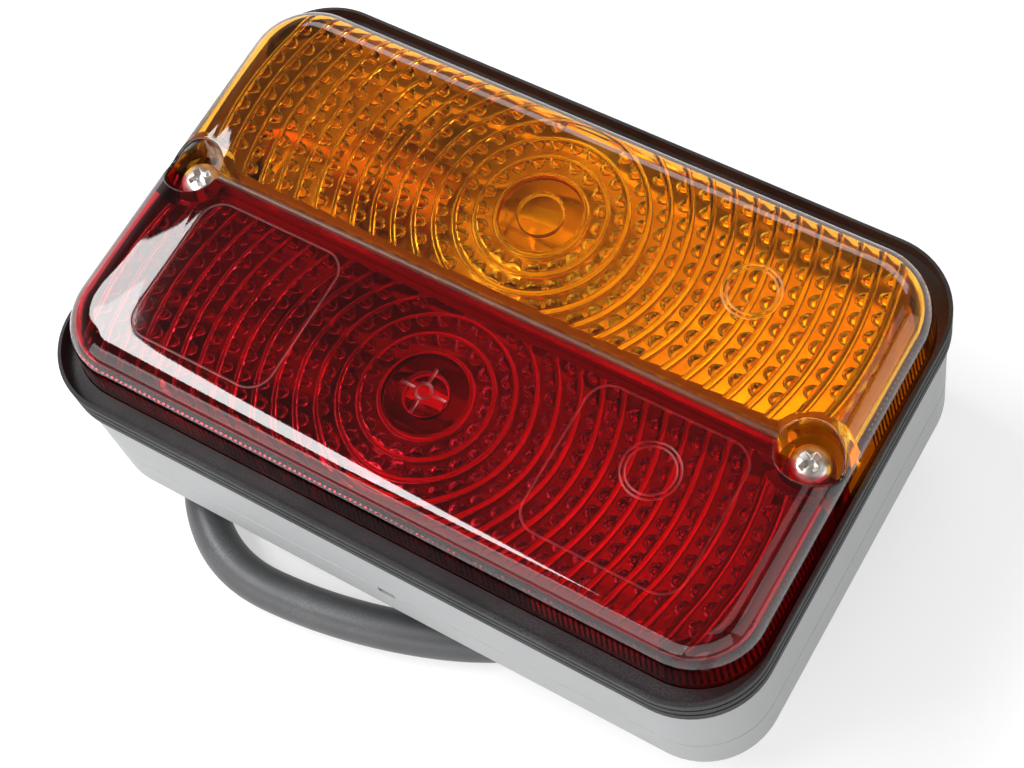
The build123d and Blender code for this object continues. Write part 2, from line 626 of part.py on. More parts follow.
# Contact insulators: discs that sit against the shells' lips
with BuildPart() as contact_insulators:
    with BuildSketch(across(INSULATOR_X)):
        Circle(CAP_D / 2)
        Circle(PIN_D / 2 + FIT, mode=Mode.SUBTRACT)
    extrude(amount=INSULATOR)
    mirror(about=Plane.XZ)
contact_insulators.part.label = "contact_insulators"
export_step(contact_insulators.part, "parts/contact_insulators.step")

# Contact pins: head under the bulb, collar and tail behind the shell
with BuildPart() as contact_pins:
    with BuildSketch(across(CONTACT_X)):
        Circle(PIN_HEAD_D / 2)
    extrude(amount=PIN_HEAD)
    with BuildSketch(across(CONTACT_X)):
        Circle(PIN_D / 2)
    extrude(amount=CONTACT_X - PIN_END)
    with BuildSketch(across(SLEEVE_X)):
        Circle(PIN_COLLAR_D / 2)
    extrude(amount=-PIN_COLLAR)
    mirror(about=Plane.XZ)
contact_pins.part.label = "contact_pins"
export_step(contact_pins.part, "parts/contact_pins.step")

# Wire sleeves: crimped over the pins' tails and the wires' ends
with BuildPart() as wire_sleeves:
    with BuildSketch(across(SLEEVE_X)):
        Circle(PIN_D / 2 + FIT + SLEEVE_WALL)
        Circle(PIN_D / 2 + FIT, mode=Mode.SUBTRACT)
    extrude(amount=SLEEVE_LENGTH)
    mirror(about=Plane.XZ)
wire_sleeves.part.label = "wire_sleeves"
export_step(wire_sleeves.part, "parts/wire_sleeves.step")

# Bulb caps: turned section with the end contact and two bayonet pins
with BuildPart() as bulb_caps:
    with BuildSketch(LAMP_PLANE):
        with BuildLine():
            Polyline(
                (-CAP_REACH, 0),
                (-CAP_REACH, CAP_D / 2),
                (CAP_BACK + CAP_TAPER, CAP_D / 2),
                (CAP_BACK, CAP_D / 2 - CAP_TAPER),
                (CAP_BACK, CAP_CONTACT_D / 2),
                (CONTACT_X, CAP_CONTACT_D / 2),
                (CONTACT_X, 0),
                close=True,
            )
        make_face()
    revolve(axis=LAMP_AXIS)
    with Locations((-CAP_REACH - BAYONET_X, LAMP_Y, LAMP_Z)):
        Cylinder(BAYONET_D / 2, CAP_D + 2 * BAYONET_OUT, rotation=(90, 0, 0))
    mirror(about=Plane.XZ)
bulb_caps.part.label = "bulb_caps"
export_step(bulb_caps.part, "parts/bulb_caps.step")

# Bulb glasses: hollow envelopes on the caps' front faces
glass_r = GLASS_D / 2
inner_r = glass_r - GLASS_WALL
neck_r = GLASS_NECK_D / 2
bore_r = neck_r - GLASS_WALL
neck_x = GLASS_NECK - CAP_REACH
slant = 0.5 ** 0.5
with BuildPart() as bulb_glasses:
    with BuildSketch(LAMP_PLANE):
        with BuildLine():
            Polyline((-CAP_REACH, bore_r), (-CAP_REACH, neck_r), (neck_x, neck_r), (-slant * glass_r, slant * glass_r))
            ThreePointArc((-slant * glass_r, slant * glass_r), (slant * glass_r, slant * glass_r), (glass_r, 0))
            Line((glass_r, 0), (inner_r, 0))
            ThreePointArc((inner_r, 0), (slant * inner_r, slant * inner_r), (-slant * inner_r, slant * inner_r))
            Polyline((-slant * inner_r, slant * inner_r), (neck_x, bore_r), (-CAP_REACH, bore_r))
        make_face()
    revolve(axis=LAMP_AXIS)
    mirror(about=Plane.XZ)
bulb_glasses.part.label = "bulb_glasses"
export_step(bulb_glasses.part, "parts/bulb_glasses.step")

# Filaments: a coil across two posts that stand on the cap
with BuildPart() as filaments:
    with BuildSketch(across(-CAP_REACH)):
        with Locations((-FILAMENT_LENGTH / 2 + POST_D, 0), (FILAMENT_LENGTH / 2 - POST_D, 0)):
            Circle(POST_D / 2)
    extrude(amount=-CAP_REACH)
    with Locations((0, LAMP_Y, LAMP_Z)):
        Cylinder(FILAMENT_D / 2, FILAMENT_LENGTH, rotation=(90, 0, 0))
    mirror(about=Plane.XZ)
filaments.part.label = "filaments"
export_step(filaments.part, "parts/filaments.step")

# Bracket rivets: through bracket, reflector, housing floor and earth strap
rivet_places = [(RIVET_X, LAMP_Y - RIVET_PITCH / 2), (RIVET_X, LAMP_Y + RIVET_PITCH / 2)]
with BuildPart() as bracket_rivets:
    with BuildSketch(Plane.XY.offset(TRAY_Z + BRACKET)):
        with Locations(*rivet_places):
            Circle(RIVET_HEAD_D / 2)
    extrude(amount=RIVET_HEAD)
    fillet(bracket_rivets.edges().group_by(Axis.Z)[-1], RIVET_HEAD / 2)
    with BuildSketch(Plane.XY.offset(STRAP_Z)):
        with Locations(*rivet_places):
            Circle(RIVET_D / 2)
    extrude(amount=TRAY_Z + BRACKET - STRAP_Z)
    with BuildSketch(Plane.XY.offset(STRAP_Z)):
        with Locations(*rivet_places):
            Circle(RIVET_HEAD_D / 2)
    extrude(amount=-RIVET_HEAD)
    mirror(about=Plane.XZ)
bracket_rivets.part.label = "bracket_rivets"
export_step(bracket_rivets.part, "parts/bracket_rivets.step")

# Earth strap: joins both brackets under the floor, with a bent tab for the earth wire
with BuildPart() as ground_strap:
    with BuildSketch(Plane.XY.offset(STRAP_Z)):
        with Locations((RIVET_X, 0)):
            Rectangle(STRAP_WIDTH, LAMP_PITCH + BRACKET_WIDTH)
        with Locations(*rivet_places, *[(x, -y) for x, y in rivet_places]):
            Circle(RIVET_D / 2 + FIT, mode=Mode.SUBTRACT)
    extrude(amount=STRAP)
    with Locations((TAB_X, LAMP_Y, PARTING_Z)):
        Box(STRAP, STRAP_WIDTH, STRAP + STRAP_TAB, align=(Align.MIN, Align.CENTER, Align.MAX))
ground_strap.part.label = "ground_strap"
export_step(ground_strap.part, "parts/ground_strap.step")


def bend(points):
    """Radii of a wire's arcs: as large as the two runs at each corner allow."""
    legs = [Vector(*b) - Vector(*a) for a, b in zip(points, points[1:])]
    return [0.45 * min(a.length, b.length) / tan(radians(a.get_angle(b) / 2)) for a, b in zip(legs, legs[1:])]


# Wires: from the boot to the two sockets and to the earth strap
turn_route = [(WIRE_X, LAMP_Y, BOOT_TOP), (WIRE_X, LAMP_Y, LAMP_Z), (PIN_END, LAMP_Y, LAMP_Z)]
with BuildPart() as wire_turn:
    with BuildLine():
        FilletPolyline(*turn_route, radius=bend(turn_route))
    with BuildSketch(Plane(origin=turn_route[0], z_dir=(0, 0, 1))):
        Circle(WIRE_D / 2)
    sweep()
wire_turn.part.label = "wire_turn"
export_step(wire_turn.part, "parts/wire_turn.step")

tail_start = BOOT_Y - 2 * WIRE_D
tail_route = [
    (WIRE_X, tail_start, BOOT_TOP),
    (WIRE_X, tail_start, RUN_Z),
    (WIRE_X, -LAMP_Y, RUN_Z),
    (WIRE_X, -LAMP_Y, LAMP_Z),
    (PIN_END, -LAMP_Y, LAMP_Z),
]
with BuildPart() as wire_tail:
    with BuildLine():
        FilletPolyline(*tail_route, radius=bend(tail_route))
    with BuildSketch(Plane(origin=tail_route[0], z_dir=(0, 0, 1))):
        Circle(WIRE_D / 2)
    sweep()
wire_tail.part.label = "wire_tail"
export_step(wire_tail.part, "parts/wire_tail.step")

ground_route = [
    (BOOT_X + WIRE_D, LAMP_Y, BOOT_TOP),
    (BOOT_X + WIRE_D, LAMP_Y, EARTH_Z),
    (TAB_X, LAMP_Y, EARTH_Z),
]
with BuildPart() as wire_ground:
    with BuildLine():
        FilletPolyline(*ground_route, radius=bend(ground_route))
    with BuildSketch(Plane(origin=ground_route[0], z_dir=(0, 0, 1))):
        Circle(WIRE_D / 2)
    sweep()
wire_ground.part.label = "wire_ground"
export_step(wire_ground.part, "parts/wire_ground.step")

# Cable boot: disc inside the cover, flange outside, elbow and ribbed nose with a flat underside
nose_plane = Plane(origin=(BOOT_X, BOOT_Y, CABLE_Z), x_dir=(-boot_way.Y, boot_way.X, 0), z_dir=boot_way)
with BuildPart() as cable_boot:
    with Locations((BOOT_X, BOOT_Y, COVER_PLATE)):
        Cylinder(BOOT_FLANGE_D / 2, BOOT_DISC, align=LOW)
    with Locations((BOOT_X, BOOT_Y, 0)):
        Cylinder(BOOT_NECK_D / 2, COVER_PLATE, align=LOW)
        Cylinder(BOOT_FLANGE_D / 2, BOOT_FLANGE, align=HIGH)
        Cylinder(BOOT_D / 2, CABLE_DROP, align=HIGH)
    with Locations((BOOT_X, BOOT_Y, CABLE_Z)):
        Sphere(BOOT_D / 2)
    with BuildSketch(nose_plane):
        Circle(BOOT_D / 2)
    with BuildSketch(nose_plane.offset(BOOT_NOSE)):
        Circle(BOOT_NOSE_D / 2)
    loft()
    for rib in (1, 2):
        with BuildSketch(nose_plane.offset(BOOT_NOSE - 2 * rib * BOOT_RIB_LENGTH)):
            Circle(BOOT_D / 2 + BOOT_RIB)
        extrude(amount=BOOT_RIB_LENGTH)
    with Locations((BOOT_X, BOOT_Y, CABLE_Z - CABLE_D / 2)):
        Box(4 * BOOT_NOSE, 4 * BOOT_NOSE, BOOT_D, align=HIGH, mode=Mode.SUBTRACT)
cable_boot.part.label = "cable_boot"
export_step(cable_boot.part, "parts/cable_boot.step")

# Cable sleeve along its route
with BuildPart() as cable_sleeve:
    with BuildLine() as route:
        FilletPolyline(*route_points, radius=route_radii)
    with BuildSketch(Plane(origin=route_points[0], z_dir=boot_way)):
        Circle(CABLE_D / 2)
    sweep()
route_length = sum(edge.length for edge in route.edges())
print("cable length:", round(route_length, 1), "volume:", round(cable_sleeve.part.volume, 1))
cable_sleeve.part.label = "cable_sleeve"
export_step(cable_sleeve.part, "parts/cable_sleeve.step")

# Plug at the cable's end: stepped body with a latch rib, and its pins
plug_plane = Plane(origin=route_points[-1], x_dir=(-plug_way.Y, plug_way.X, 0), z_dir=plug_way)
with BuildPart() as connector_body:
    with BuildSketch(plug_plane):
        RectangleRounded(PLUG_HEIGHT, PLUG_HEIGHT, PLUG_HEIGHT / 2 - FIT)
    with BuildSketch(plug_plane.offset(PLUG_NECK)):
        RectangleRounded(PLUG_WIDTH, PLUG_HEIGHT, PLUG_CORNER)
    loft()
    with BuildSketch(plug_plane.offset(PLUG_NECK)):
        RectangleRounded(PLUG_WIDTH, PLUG_HEIGHT, PLUG_CORNER)
    extrude(amount=PLUG_LENGTH - PLUG_NECK)
    with BuildSketch(plug_plane.offset(PLUG_LENGTH)):
        with Locations((0, PLUG_HEIGHT / 2)):
            Rectangle(PLUG_LATCH_WIDTH, 2 * PLUG_LATCH)
    extrude(amount=-PLUG_LATCH_LENGTH)
connector_body.part.label = "connector_body"
export_step(connector_body.part, "parts/connector_body.step")

with BuildPart() as connector_pins:
    with BuildSketch(plug_plane.offset(PLUG_LENGTH)):
        with GridLocations(PLUG_PIN_PITCH, 0, PLUG_PINS, 1):
            Circle(PLUG_PIN_D / 2)
    extrude(amount=PLUG_PIN)
    fillet(connector_pins.faces().filter_by(plug_plane).group_by(Axis.Y)[-1].edges(), PLUG_PIN_D / 4)
connector_pins.part.label = "connector_pins"
export_step(connector_pins.part, "parts/connector_pins.step")
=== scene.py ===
import json
import math

import bpy
from bpy.props import FloatProperty, FloatVectorProperty, PointerProperty
from mathutils import Matrix, Vector


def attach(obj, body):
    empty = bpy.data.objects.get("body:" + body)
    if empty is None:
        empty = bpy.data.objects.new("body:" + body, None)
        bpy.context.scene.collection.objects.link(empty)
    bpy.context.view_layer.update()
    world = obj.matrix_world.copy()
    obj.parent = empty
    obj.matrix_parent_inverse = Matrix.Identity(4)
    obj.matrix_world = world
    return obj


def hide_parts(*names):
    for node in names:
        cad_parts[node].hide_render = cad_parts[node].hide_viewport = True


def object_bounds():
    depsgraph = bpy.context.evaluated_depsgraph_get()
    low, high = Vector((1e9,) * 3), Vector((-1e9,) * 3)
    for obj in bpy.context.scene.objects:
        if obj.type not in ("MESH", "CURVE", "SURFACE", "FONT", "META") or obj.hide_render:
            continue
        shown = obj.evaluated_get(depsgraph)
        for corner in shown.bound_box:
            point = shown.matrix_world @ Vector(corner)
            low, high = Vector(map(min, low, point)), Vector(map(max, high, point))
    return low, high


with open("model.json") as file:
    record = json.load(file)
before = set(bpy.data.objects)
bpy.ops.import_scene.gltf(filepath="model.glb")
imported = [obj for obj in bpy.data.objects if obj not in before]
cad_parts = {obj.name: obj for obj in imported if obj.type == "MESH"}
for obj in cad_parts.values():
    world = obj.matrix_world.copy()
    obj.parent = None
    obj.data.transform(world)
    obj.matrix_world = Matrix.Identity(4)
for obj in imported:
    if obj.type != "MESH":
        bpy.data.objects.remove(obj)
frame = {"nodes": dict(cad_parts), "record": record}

bl_info = {
    "name": "Rear Lamp Dresser",
    "version": (1, 0, 0),
    "blender": (4, 5, 0),
    "location": "View3D > Sidebar > Rear Lamp",
    "description": "Gives a two-colour rear lamp its lens optics, cable, finishes and studio",
    "category": "Object",
}

CAD_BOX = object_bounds()
NODES = frame["nodes"]
MM = 0.001

# Lens moulding, in millimetres and degrees
LAMP_Y = 21.5
LENS_TOP = 50.5
LENS_INSIDE = 48.2
RING_FIRST = 8.45
RING_PITCH = 4.05
RING_COUNT = 16
RING_THIN = 0.3
RING_DEPTH = 1.8
RING_DRAFT = 0.45
TOOTH_SLOPE = math.atan2(RING_DEPTH - RING_THIN, RING_PITCH - RING_DRAFT)
SEAM_WALL = 3.4
SEAM_ROUND = 0.95
BOSS_R = 8.6
FIELD_X = 71.5
FIELD_Y = 41.7
FIELD_CORNER = 8.9
WALL_X = 75.3
WALL_Y = 44.5
WALL_CORNER = 12.8
WALL_FOOT = 34.5
WALL_DRAFT = 6.0
LENS_SMOOTH = 34.0

# Scallops: how they lie on the rings and what they keep clear of, in millimetres and shares of their size
PLAIN_RINGS = 1
FEWEST_SCALLOPS = 6
SCALLOP_SINK = 0.3
SCALLOP_BELLY = 0.5
SCALLOP_MIDDLE = 0.45
SCALLOP_NOSE = (0.75, 0.66)
BOSS_CLEAR = 0.3
SEAM_CLEAR = 0.4
SEAM_STRIP = 0.15

# Beads on the ring lines and ribs on the walls, in millimetres
BEAD_LIFT = 0.35
BEAD_ROOT = 0.4
BEAD_REACH = 1.2
BEAD_ROOM = 6.0
BOSS_TALL = 8.0
RIB_LOW = 36.5
RIB_HIGH = 43.4
RIB_END = 9.6

# Plain marks on the lens face, in millimetres
CIRCLE_SIZES = (11.4, 9.6)
AMBER_CIRCLE = (45.0, 23.8)
RED_CIRCLE = (45.7, -16.3)
RED_OUTLINES = (((-60.5, -36.5), (-28.0, -4.5)), ((28.0, -36.5), (61.5, -4.5)))
OUTLINE_CORNER = 4.8
CROSS_RING = 3.1
CROSS_LINE = 0.8
CROSS_ARM = (3.1, CROSS_LINE, 0.9)
CROSS_ARM_AT = 3.45
CROSS_EDGE = 0.22

# Limits that tell the parts of the lens skin apart, in millimetres and as a normal's height
WALL_SPARE = 1.0
ROOF_SPARE = 1.0
SEAM_SPARE = 0.5
BOSS_SPARE = 1.2
CENTRE_RISE = 0.1
SCALLOP_RISE = 0.12
BEAD_TIP = 0.5
BEAD_BEFORE = 0.2
BEAD_ACROSS = 1.5
SEAM_PAST_BOSS = 3.0
SEAM_WALL_SKIN = (0.5, SEAM_WALL + 0.3)
MARKED_X = 63.0
MARKED_Y = (3.0, 36.85)
MARK_DEPTH = (0.01, 0.6)
FLAT_UP = 0.999
FACING_DOWN = -0.86
STRAIGHT_DOWN = -0.9

# Lens screws, in millimetres and degrees
SCREW_X = 69.0
SCREW_SEAT = 42.5
SCREW_TURNS = ((-SCREW_X, 52.0), (SCREW_X, 66.0))
HEAD_DOME = 2.3
HEAD_EDGE = 0.7
SHANK_R = 2.0
SHANK = 16.0
RECESS_DEPTH = 1.9
RECESS_SPAN = 7.8
RECESS_WIDTH = 1.6
RECESS_OVER = 0.1
RECESS_TAPER = (0.3, 0.72, 1.0)
HEAD_ROUND = 0.09
HEAD_SMOOTH = 38.0

# Cable route: the control points of its smooth line, in millimetres
CABLE_Z = -9.5
CABLE_ROUTE = [(-64, 8), (-68.5, -24.5), (-48, -58), (-12, -56.2), (24, -43.4), (44, -20), (44, 4)]

# Camera of the photograph
CAMERA_AT = Vector((0.15135, -0.13192, 0.41031))
CAMERA_RIGHT = Vector((0.85130, 0.50299, -0.14931))
CAMERA_UP = Vector((-0.39897, 0.80538, 0.43839))
CAMERA_BACK = Vector((0.34075, -0.31363, 0.88630))
CAMERA_SENSOR = 36.0
CAMERA_LENS = 76.45
CAMERA_SHIFT = (-0.0162, -0.0376)
CAMERA_CLIP = (0.02, 20.0)

# Studio: the floor, the heights between which the room dims, and the lights
FLOOR_RADIUS = 1.6
FLOOR_GREY = 0.5
FLOOR_GLOW = 0.55
ROOM_DIMS = (0.2, 0.62)
ROOM_OVERHEAD = 0.2
FACED = (0, 0, 0.05)
# Each light's name, place, the point it faces or None for straight down, width, height,
# the power it follows, its share of that power and its turn in degrees
LIGHTS = (
    ("key_card", (-0.444, -0.222, 0.77), None, 0.75, 0.25, "key_power", 1.0, -65.6),
    ("left_card", (-0.71, 0.07, 0.77), None, 0.44, 0.34, "key_power", 0.62, 0.0),
    ("front_panel", (-0.25, -1.0, 0.42), FACED, 1.25, 0.6, "side_power", 1.0, 0.0),
    ("right_panel", (1.05, 0.2, 0.42), FACED, 0.9, 0.6, "side_power", 0.4, 0.0),
    ("right_card", (0.55, 0.1, 0.8), None, 0.3, 0.9, "key_power", 0.08, 0.0),
    ("back_panel", (-0.15, 0.85, 0.7), (0, 0, 0.03), 1.3, 0.3, "key_power", 0.5, 0.0),
    ("corner_panel", (0.8, -0.8, 0.42), FACED, 1.2, 0.6, "side_power", 0.6, 0.0),
)

# Materials: scales of noise per metre, ranges of noise that become patches, and the finishes' own values
BROAD_SCALE = 90.0
SPECK_SCALE = 2600.0
STREAK_SCALE = 3000.0
STREAK_STRETCH = (1.0, 1.0, 0.25)
STREAK_DEPTH = 0.000006
DUST_PATCHES = (0.38, 0.72)
DUST_SPECKS = (0.35, 0.7)
DUST_GREY = 0.6
DUST_SHARE = 0.3
DULL_PATCHES = (0.42, 0.75)
DULL_ROUGHER = 0.18
PLASTIC_GLOSS = 0.5
RUBBER_GLOSS = 0.3
CLEAR_BEND = 1.49
CLEAR_DUST = 0.8
CLEAR_GRAIN = 0.00002
LENS_COAT = 0.4

# Parts of a lens's skin, as the ends of their finishes' names
SKINS = ("", "_field", "_ring", "_mark", "_seam", "_scallop")
CLEAR, FIELD, RING, MARK, SEAM, SCALLOP = range(len(SKINS))

# Roughness and share of the tint, by lens and by the part of its skin. The shares paint light and shade
# onto one clear moulding: the paler ring beads and marks are painted highlights, and the darker red field,
# red scallops and both seams are painted shade.
LENS_SKIN_ROUGHNESS_AND_PAINTED_LIGHT = {
    "amber_lens": (0.03, 1.0), "amber_lens_field": (0.12, 0.9), "amber_lens_ring": (0.16, 1.5),
    "amber_lens_mark": (0.35, 1.5), "amber_lens_seam": (0.4, 0.25), "amber_lens_scallop": (0.03, 1.0),
    "red_lens": (0.03, 1.0), "red_lens_field": (0.12, 0.2), "red_lens_ring": (0.2, 2.2),
    "red_lens_mark": (0.35, 1.6), "red_lens_seam": (0.4, 0.25), "red_lens_scallop": (0.05, 0.3),
}

# Vertices closer than this lie on each other, in metres
SAME_PLACE = 1e-6


class LampSizes(bpy.types.PropertyGroup):
    """Sizes of the lens optics, the marks and the cable"""

    scallop_width: FloatProperty(
        name="Scallop width", description="Width of one scallop along its ring",
        default=3.5 * MM, unit="LENGTH")
    scallop_length: FloatProperty(
        name="Scallop length", description="Length of one scallop towards the ring centre",
        default=2.4 * MM, unit="LENGTH")
    scallop_depth: FloatProperty(
        name="Scallop depth", description="Depth of one scallop at its ring line",
        default=0.9 * MM, unit="LENGTH")
    bead: FloatProperty(
        name="Ring bead", description="Radius of the rounded bead along each ring line",
        default=0.72 * MM, unit="LENGTH")
    scallop_spacing: FloatProperty(
        name="Scallop spacing", description="Distance between scallops along a ring",
        default=4.2 * MM, unit="LENGTH")
    rib_pitch: FloatProperty(
        name="Rib pitch", description="Distance between the ribs inside the lens wall",
        default=1.15 * MM, unit="LENGTH")
    rib_depth: FloatProperty(
        name="Rib depth", description="Depth of the grooves between those ribs",
        default=0.28 * MM, unit="LENGTH")
    mark_line: FloatProperty(
        name="Mark line", description="Width of the plain marks on the lens face",
        default=0.5 * MM, unit="LENGTH")
    screw_head: FloatProperty(
        name="Screw head", description="Diameter of the lens screws' heads",
        default=8.2 * MM, unit="LENGTH")
    seam_gap: FloatProperty(
        name="Seam gap", description="Clearance between the two lens halves, on each side",
        default=0.04 * MM, unit="LENGTH")
    cable_diameter: FloatProperty(
        name="Cable diameter", description="Outside diameter of the cable sleeve",
        default=9.0 * MM, unit="LENGTH")
    cable_length: FloatProperty(
        name="Cable length", description="Length of the cable from the boot to the plug",
        default=195.0 * MM, unit="LENGTH")


class LampColours(bpy.types.PropertyGroup):
    """Colours of the lamp's finishes"""

    amber: FloatVectorProperty(
        name="Amber lens", description="Tint of the clear amber moulding", default=(1.0, 0.46, 0.02),
        size=3, min=0, max=1, subtype="COLOR")
    red: FloatVectorProperty(
        name="Red lens", description="Tint of the clear red moulding", default=(0.6, 0.012, 0.026),
        size=3, min=0, max=1, subtype="COLOR")
    rubber: FloatVectorProperty(
        name="Rim rubber", description="Dark rubber of the rim", default=(0.013, 0.013, 0.0145),
        size=3, min=0, max=1, subtype="COLOR")
    grey: FloatVectorProperty(
        name="Grey plastic", description="Light grey plastic of the housing and cover",
        default=(0.365, 0.37, 0.375), size=3, min=0, max=1, subtype="COLOR")
    zinc: FloatVectorProperty(
        name="Zinc plate", description="Bright zinc plate of the screws and studs",
        default=(0.78, 0.79, 0.77), size=3, min=0, max=1, subtype="COLOR")
    sleeve: FloatVectorProperty(
        name="Cable sleeve", description="Dark grey soft sleeve of the cable",
        default=(0.062, 0.063, 0.066), size=3, min=0, max=1, subtype="COLOR")


class LampStudio(bpy.types.PropertyGroup):
    """Levels of the studio"""

    floor_level: FloatProperty(
        name="Floor level", description="Height of the floor under the stud tips", default=CAD_BOX[0].z,
        unit="LENGTH")
    key_power: FloatProperty(
        name="Key power", default=7.6, unit="POWER",
        description="Power of the key card, which the other cards and the back panel follow")
    side_power: FloatProperty(
        name="Side power", default=6.2, unit="POWER",
        description="Power of the front panel, which the right and corner panels follow")
    room_level: FloatProperty(
        name="Room level", description="Strength of the even light from the room",
        default=0.45, min=0, max=2)


def leave_edit():
    """Goes back to object mode with nothing selected."""
    if bpy.context.object and bpy.context.object.mode != "OBJECT":
        bpy.ops.object.mode_set(mode="OBJECT")
    bpy.ops.object.select_all(action="DESELECT")


def take(obj):
    """Selects one object alone and makes it the active one."""
    leave_edit()
    obj.select_set(True)
    bpy.context.view_layer.objects.active = obj


def edit_whole(obj):
    """Takes one object into edit mode with all of it selected."""
    take(obj)
    bpy.ops.object.mode_set(mode="EDIT")
    bpy.ops.mesh.select_all(action="SELECT")


def set_places(obj):
    """Puts the object's place, turn and scale into its mesh."""
    take(obj)
    bpy.ops.object.transform_apply(location=True, rotation=True, scale=True)


def copy_of(obj, place):
    """A copy with its own mesh, moved by a matrix."""
    twin = obj.copy()
    twin.data = obj.data.copy()
    twin.data.transform(place)
    bpy.context.collection.objects.link(twin)
    return twin


def join_all(parts, name):
    """Joins objects into one with this name."""
    leave_edit()
    for part in parts:
        part.select_set(True)
    bpy.context.view_layer.objects.active = parts[0]
    bpy.ops.object.join()
    whole = bpy.context.object
    whole.name = name
    return whole


def discard(*objs):
    """Takes helper objects out of the scene with their meshes."""
    for obj in objs:
        mesh = obj.data
        bpy.data.objects.remove(obj)
        bpy.data.meshes.remove(mesh)


def use_modifier(obj, kind, **settings):
    """Adds a modifier, sets it and applies it."""
    take(obj)
    added = obj.modifiers.new(kind.title(), kind)
    for key, value in settings.items():
        setattr(added, key, value)
    bpy.ops.object.modifier_apply(modifier=added.name)


def combine(piece, other, operation):
    """Unites a piece with another object, or keeps or takes away what they share."""
    use_modifier(piece, "BOOLEAN", operation=operation, solver="MANIFOLD", object=other)


def cut(piece, cutter):
    """Takes a cutter out of a piece."""
    before = [face.area for face in piece.data.polygons]
    combine(piece, cutter, "DIFFERENCE")
    if [face.area for face in piece.data.polygons] == before:
        raise RuntimeError(f"{cutter.name} cut nothing from {piece.name}")


def in_metres(spot):
    """A placement given in millimetres, for a mesh in metres."""
    return Matrix.Scale(MM, 4) @ spot @ Matrix.Scale(1 / MM, 4)


def mend_normals(obj):
    """Merges doubles and points the faces outwards."""
    edit_whole(obj)
    bpy.ops.mesh.remove_doubles(threshold=SAME_PLACE)
    bpy.ops.mesh.normals_make_consistent(inside=False)
    bpy.ops.object.mode_set(mode="OBJECT")


def node_copy(node, name):
    """A merged copy of a CAD node's mesh, as a piece of its own."""
    leave_edit()
    twin = copy_of(NODES[node], Matrix.Identity(4))
    twin.name = name
    twin.parent = None
    twin.matrix_world = Matrix.Identity(4)
    take(twin)
    if twin.data.has_custom_normals:
        bpy.ops.mesh.customdata_custom_splitnormals_clear()
    edit_whole(twin)
    bpy.ops.mesh.remove_doubles(threshold=SAME_PLACE)
    bpy.ops.object.mode_set(mode="OBJECT")
    return twin


def wear_finish(obj, material):
    """Gives an object one material."""
    obj.data.materials.clear()
    obj.data.materials.append(material)


# Shared effects


def effect(name, sockets):
    """An empty shader group with named sockets, and its two ends."""
    tree = bpy.data.node_groups.new(name, "ShaderNodeTree")
    for label, way, kind, default in sockets:
        socket = tree.interface.new_socket(name=label, in_out=way, socket_type="NodeSocket" + kind)
        if default is not None:
            socket.default_value = default
    return tree, tree.nodes.new("NodeGroupInput"), tree.nodes.new("NodeGroupOutput")


def put(tree, kind, **settings):
    """Adds a shader node with its settings."""
    node = tree.nodes.new("ShaderNode" + kind)
    for key, value in settings.items():
        setattr(node, key, value)
    return node


def noise(tree, place, scale, detail, rough):
    """A noise texture on a place, whose scale is a socket or a number."""
    node = put(tree, "TexNoise")
    tree.links.new(place, node.inputs["Vector"])
    if isinstance(scale, bpy.types.NodeSocket):
        tree.links.new(scale, node.inputs["Scale"])
    else:
        node.inputs["Scale"].default_value = scale
    node.inputs["Detail"].default_value = detail
    node.inputs["Roughness"].default_value = rough
    return node.outputs["Fac"]


def ramp(tree, value, low, high, to_low=0.0, to_high=1.0):
    """Maps a value from one range to another, clamped."""
    node = put(tree, "MapRange")
    tree.links.new(value, node.inputs["Value"])
    for label, given in (("From Min", low), ("From Max", high), ("To Min", to_low), ("To Max", to_high)):
        node.inputs[label].default_value = given
    return node.outputs["Result"]


def calc(tree, operation, first, second):
    """A math node of two values, sockets or numbers."""
    node = put(tree, "Math", operation=operation)
    for index, given in enumerate((first, second)):
        if isinstance(given, bpy.types.NodeSocket):
            tree.links.new(given, node.inputs[index])
        else:
            node.inputs[index].default_value = given
    return node.outputs["Value"]


def blend_colours(tree, share, first, second):
    """Mixes two colour sockets by a share."""
    node = put(tree, "Mix", data_type="RGBA")
    tree.links.new(share, node.inputs["Factor"])
    for label, given in (("A", first), ("B", second)):
        tree.links.new(given, [s for s in node.inputs if s.name == label and s.type == "RGBA"][0])
    return [s for s in node.outputs if s.type == "RGBA"][0]


def moulded_grain():
    """Fine spark-eroded grain: a height, and a roughness about a middle value."""
    tree, start, end = effect("Moulded grain", [
        ("Scale", "INPUT", "Float", 1400.0), ("Roughness", "INPUT", "Float", 0.5),
        ("Spread", "INPUT", "Float", 0.12), ("Height", "OUTPUT", "Float", None),
        ("Roughness", "OUTPUT", "Float", None)])
    place = put(tree, "TexCoord").outputs["Object"]
    fine = noise(tree, place, start.outputs["Scale"], detail=3.0, rough=0.6)
    broad = noise(tree, place, BROAD_SCALE, detail=4.0, rough=0.6)
    tree.links.new(fine, end.inputs["Height"])
    shift = calc(tree, "MULTIPLY", calc(tree, "SUBTRACT", broad, 0.5), start.outputs["Spread"])
    tree.links.new(calc(tree, "ADD", start.outputs["Roughness"], shift), end.inputs["Roughness"])
    return tree


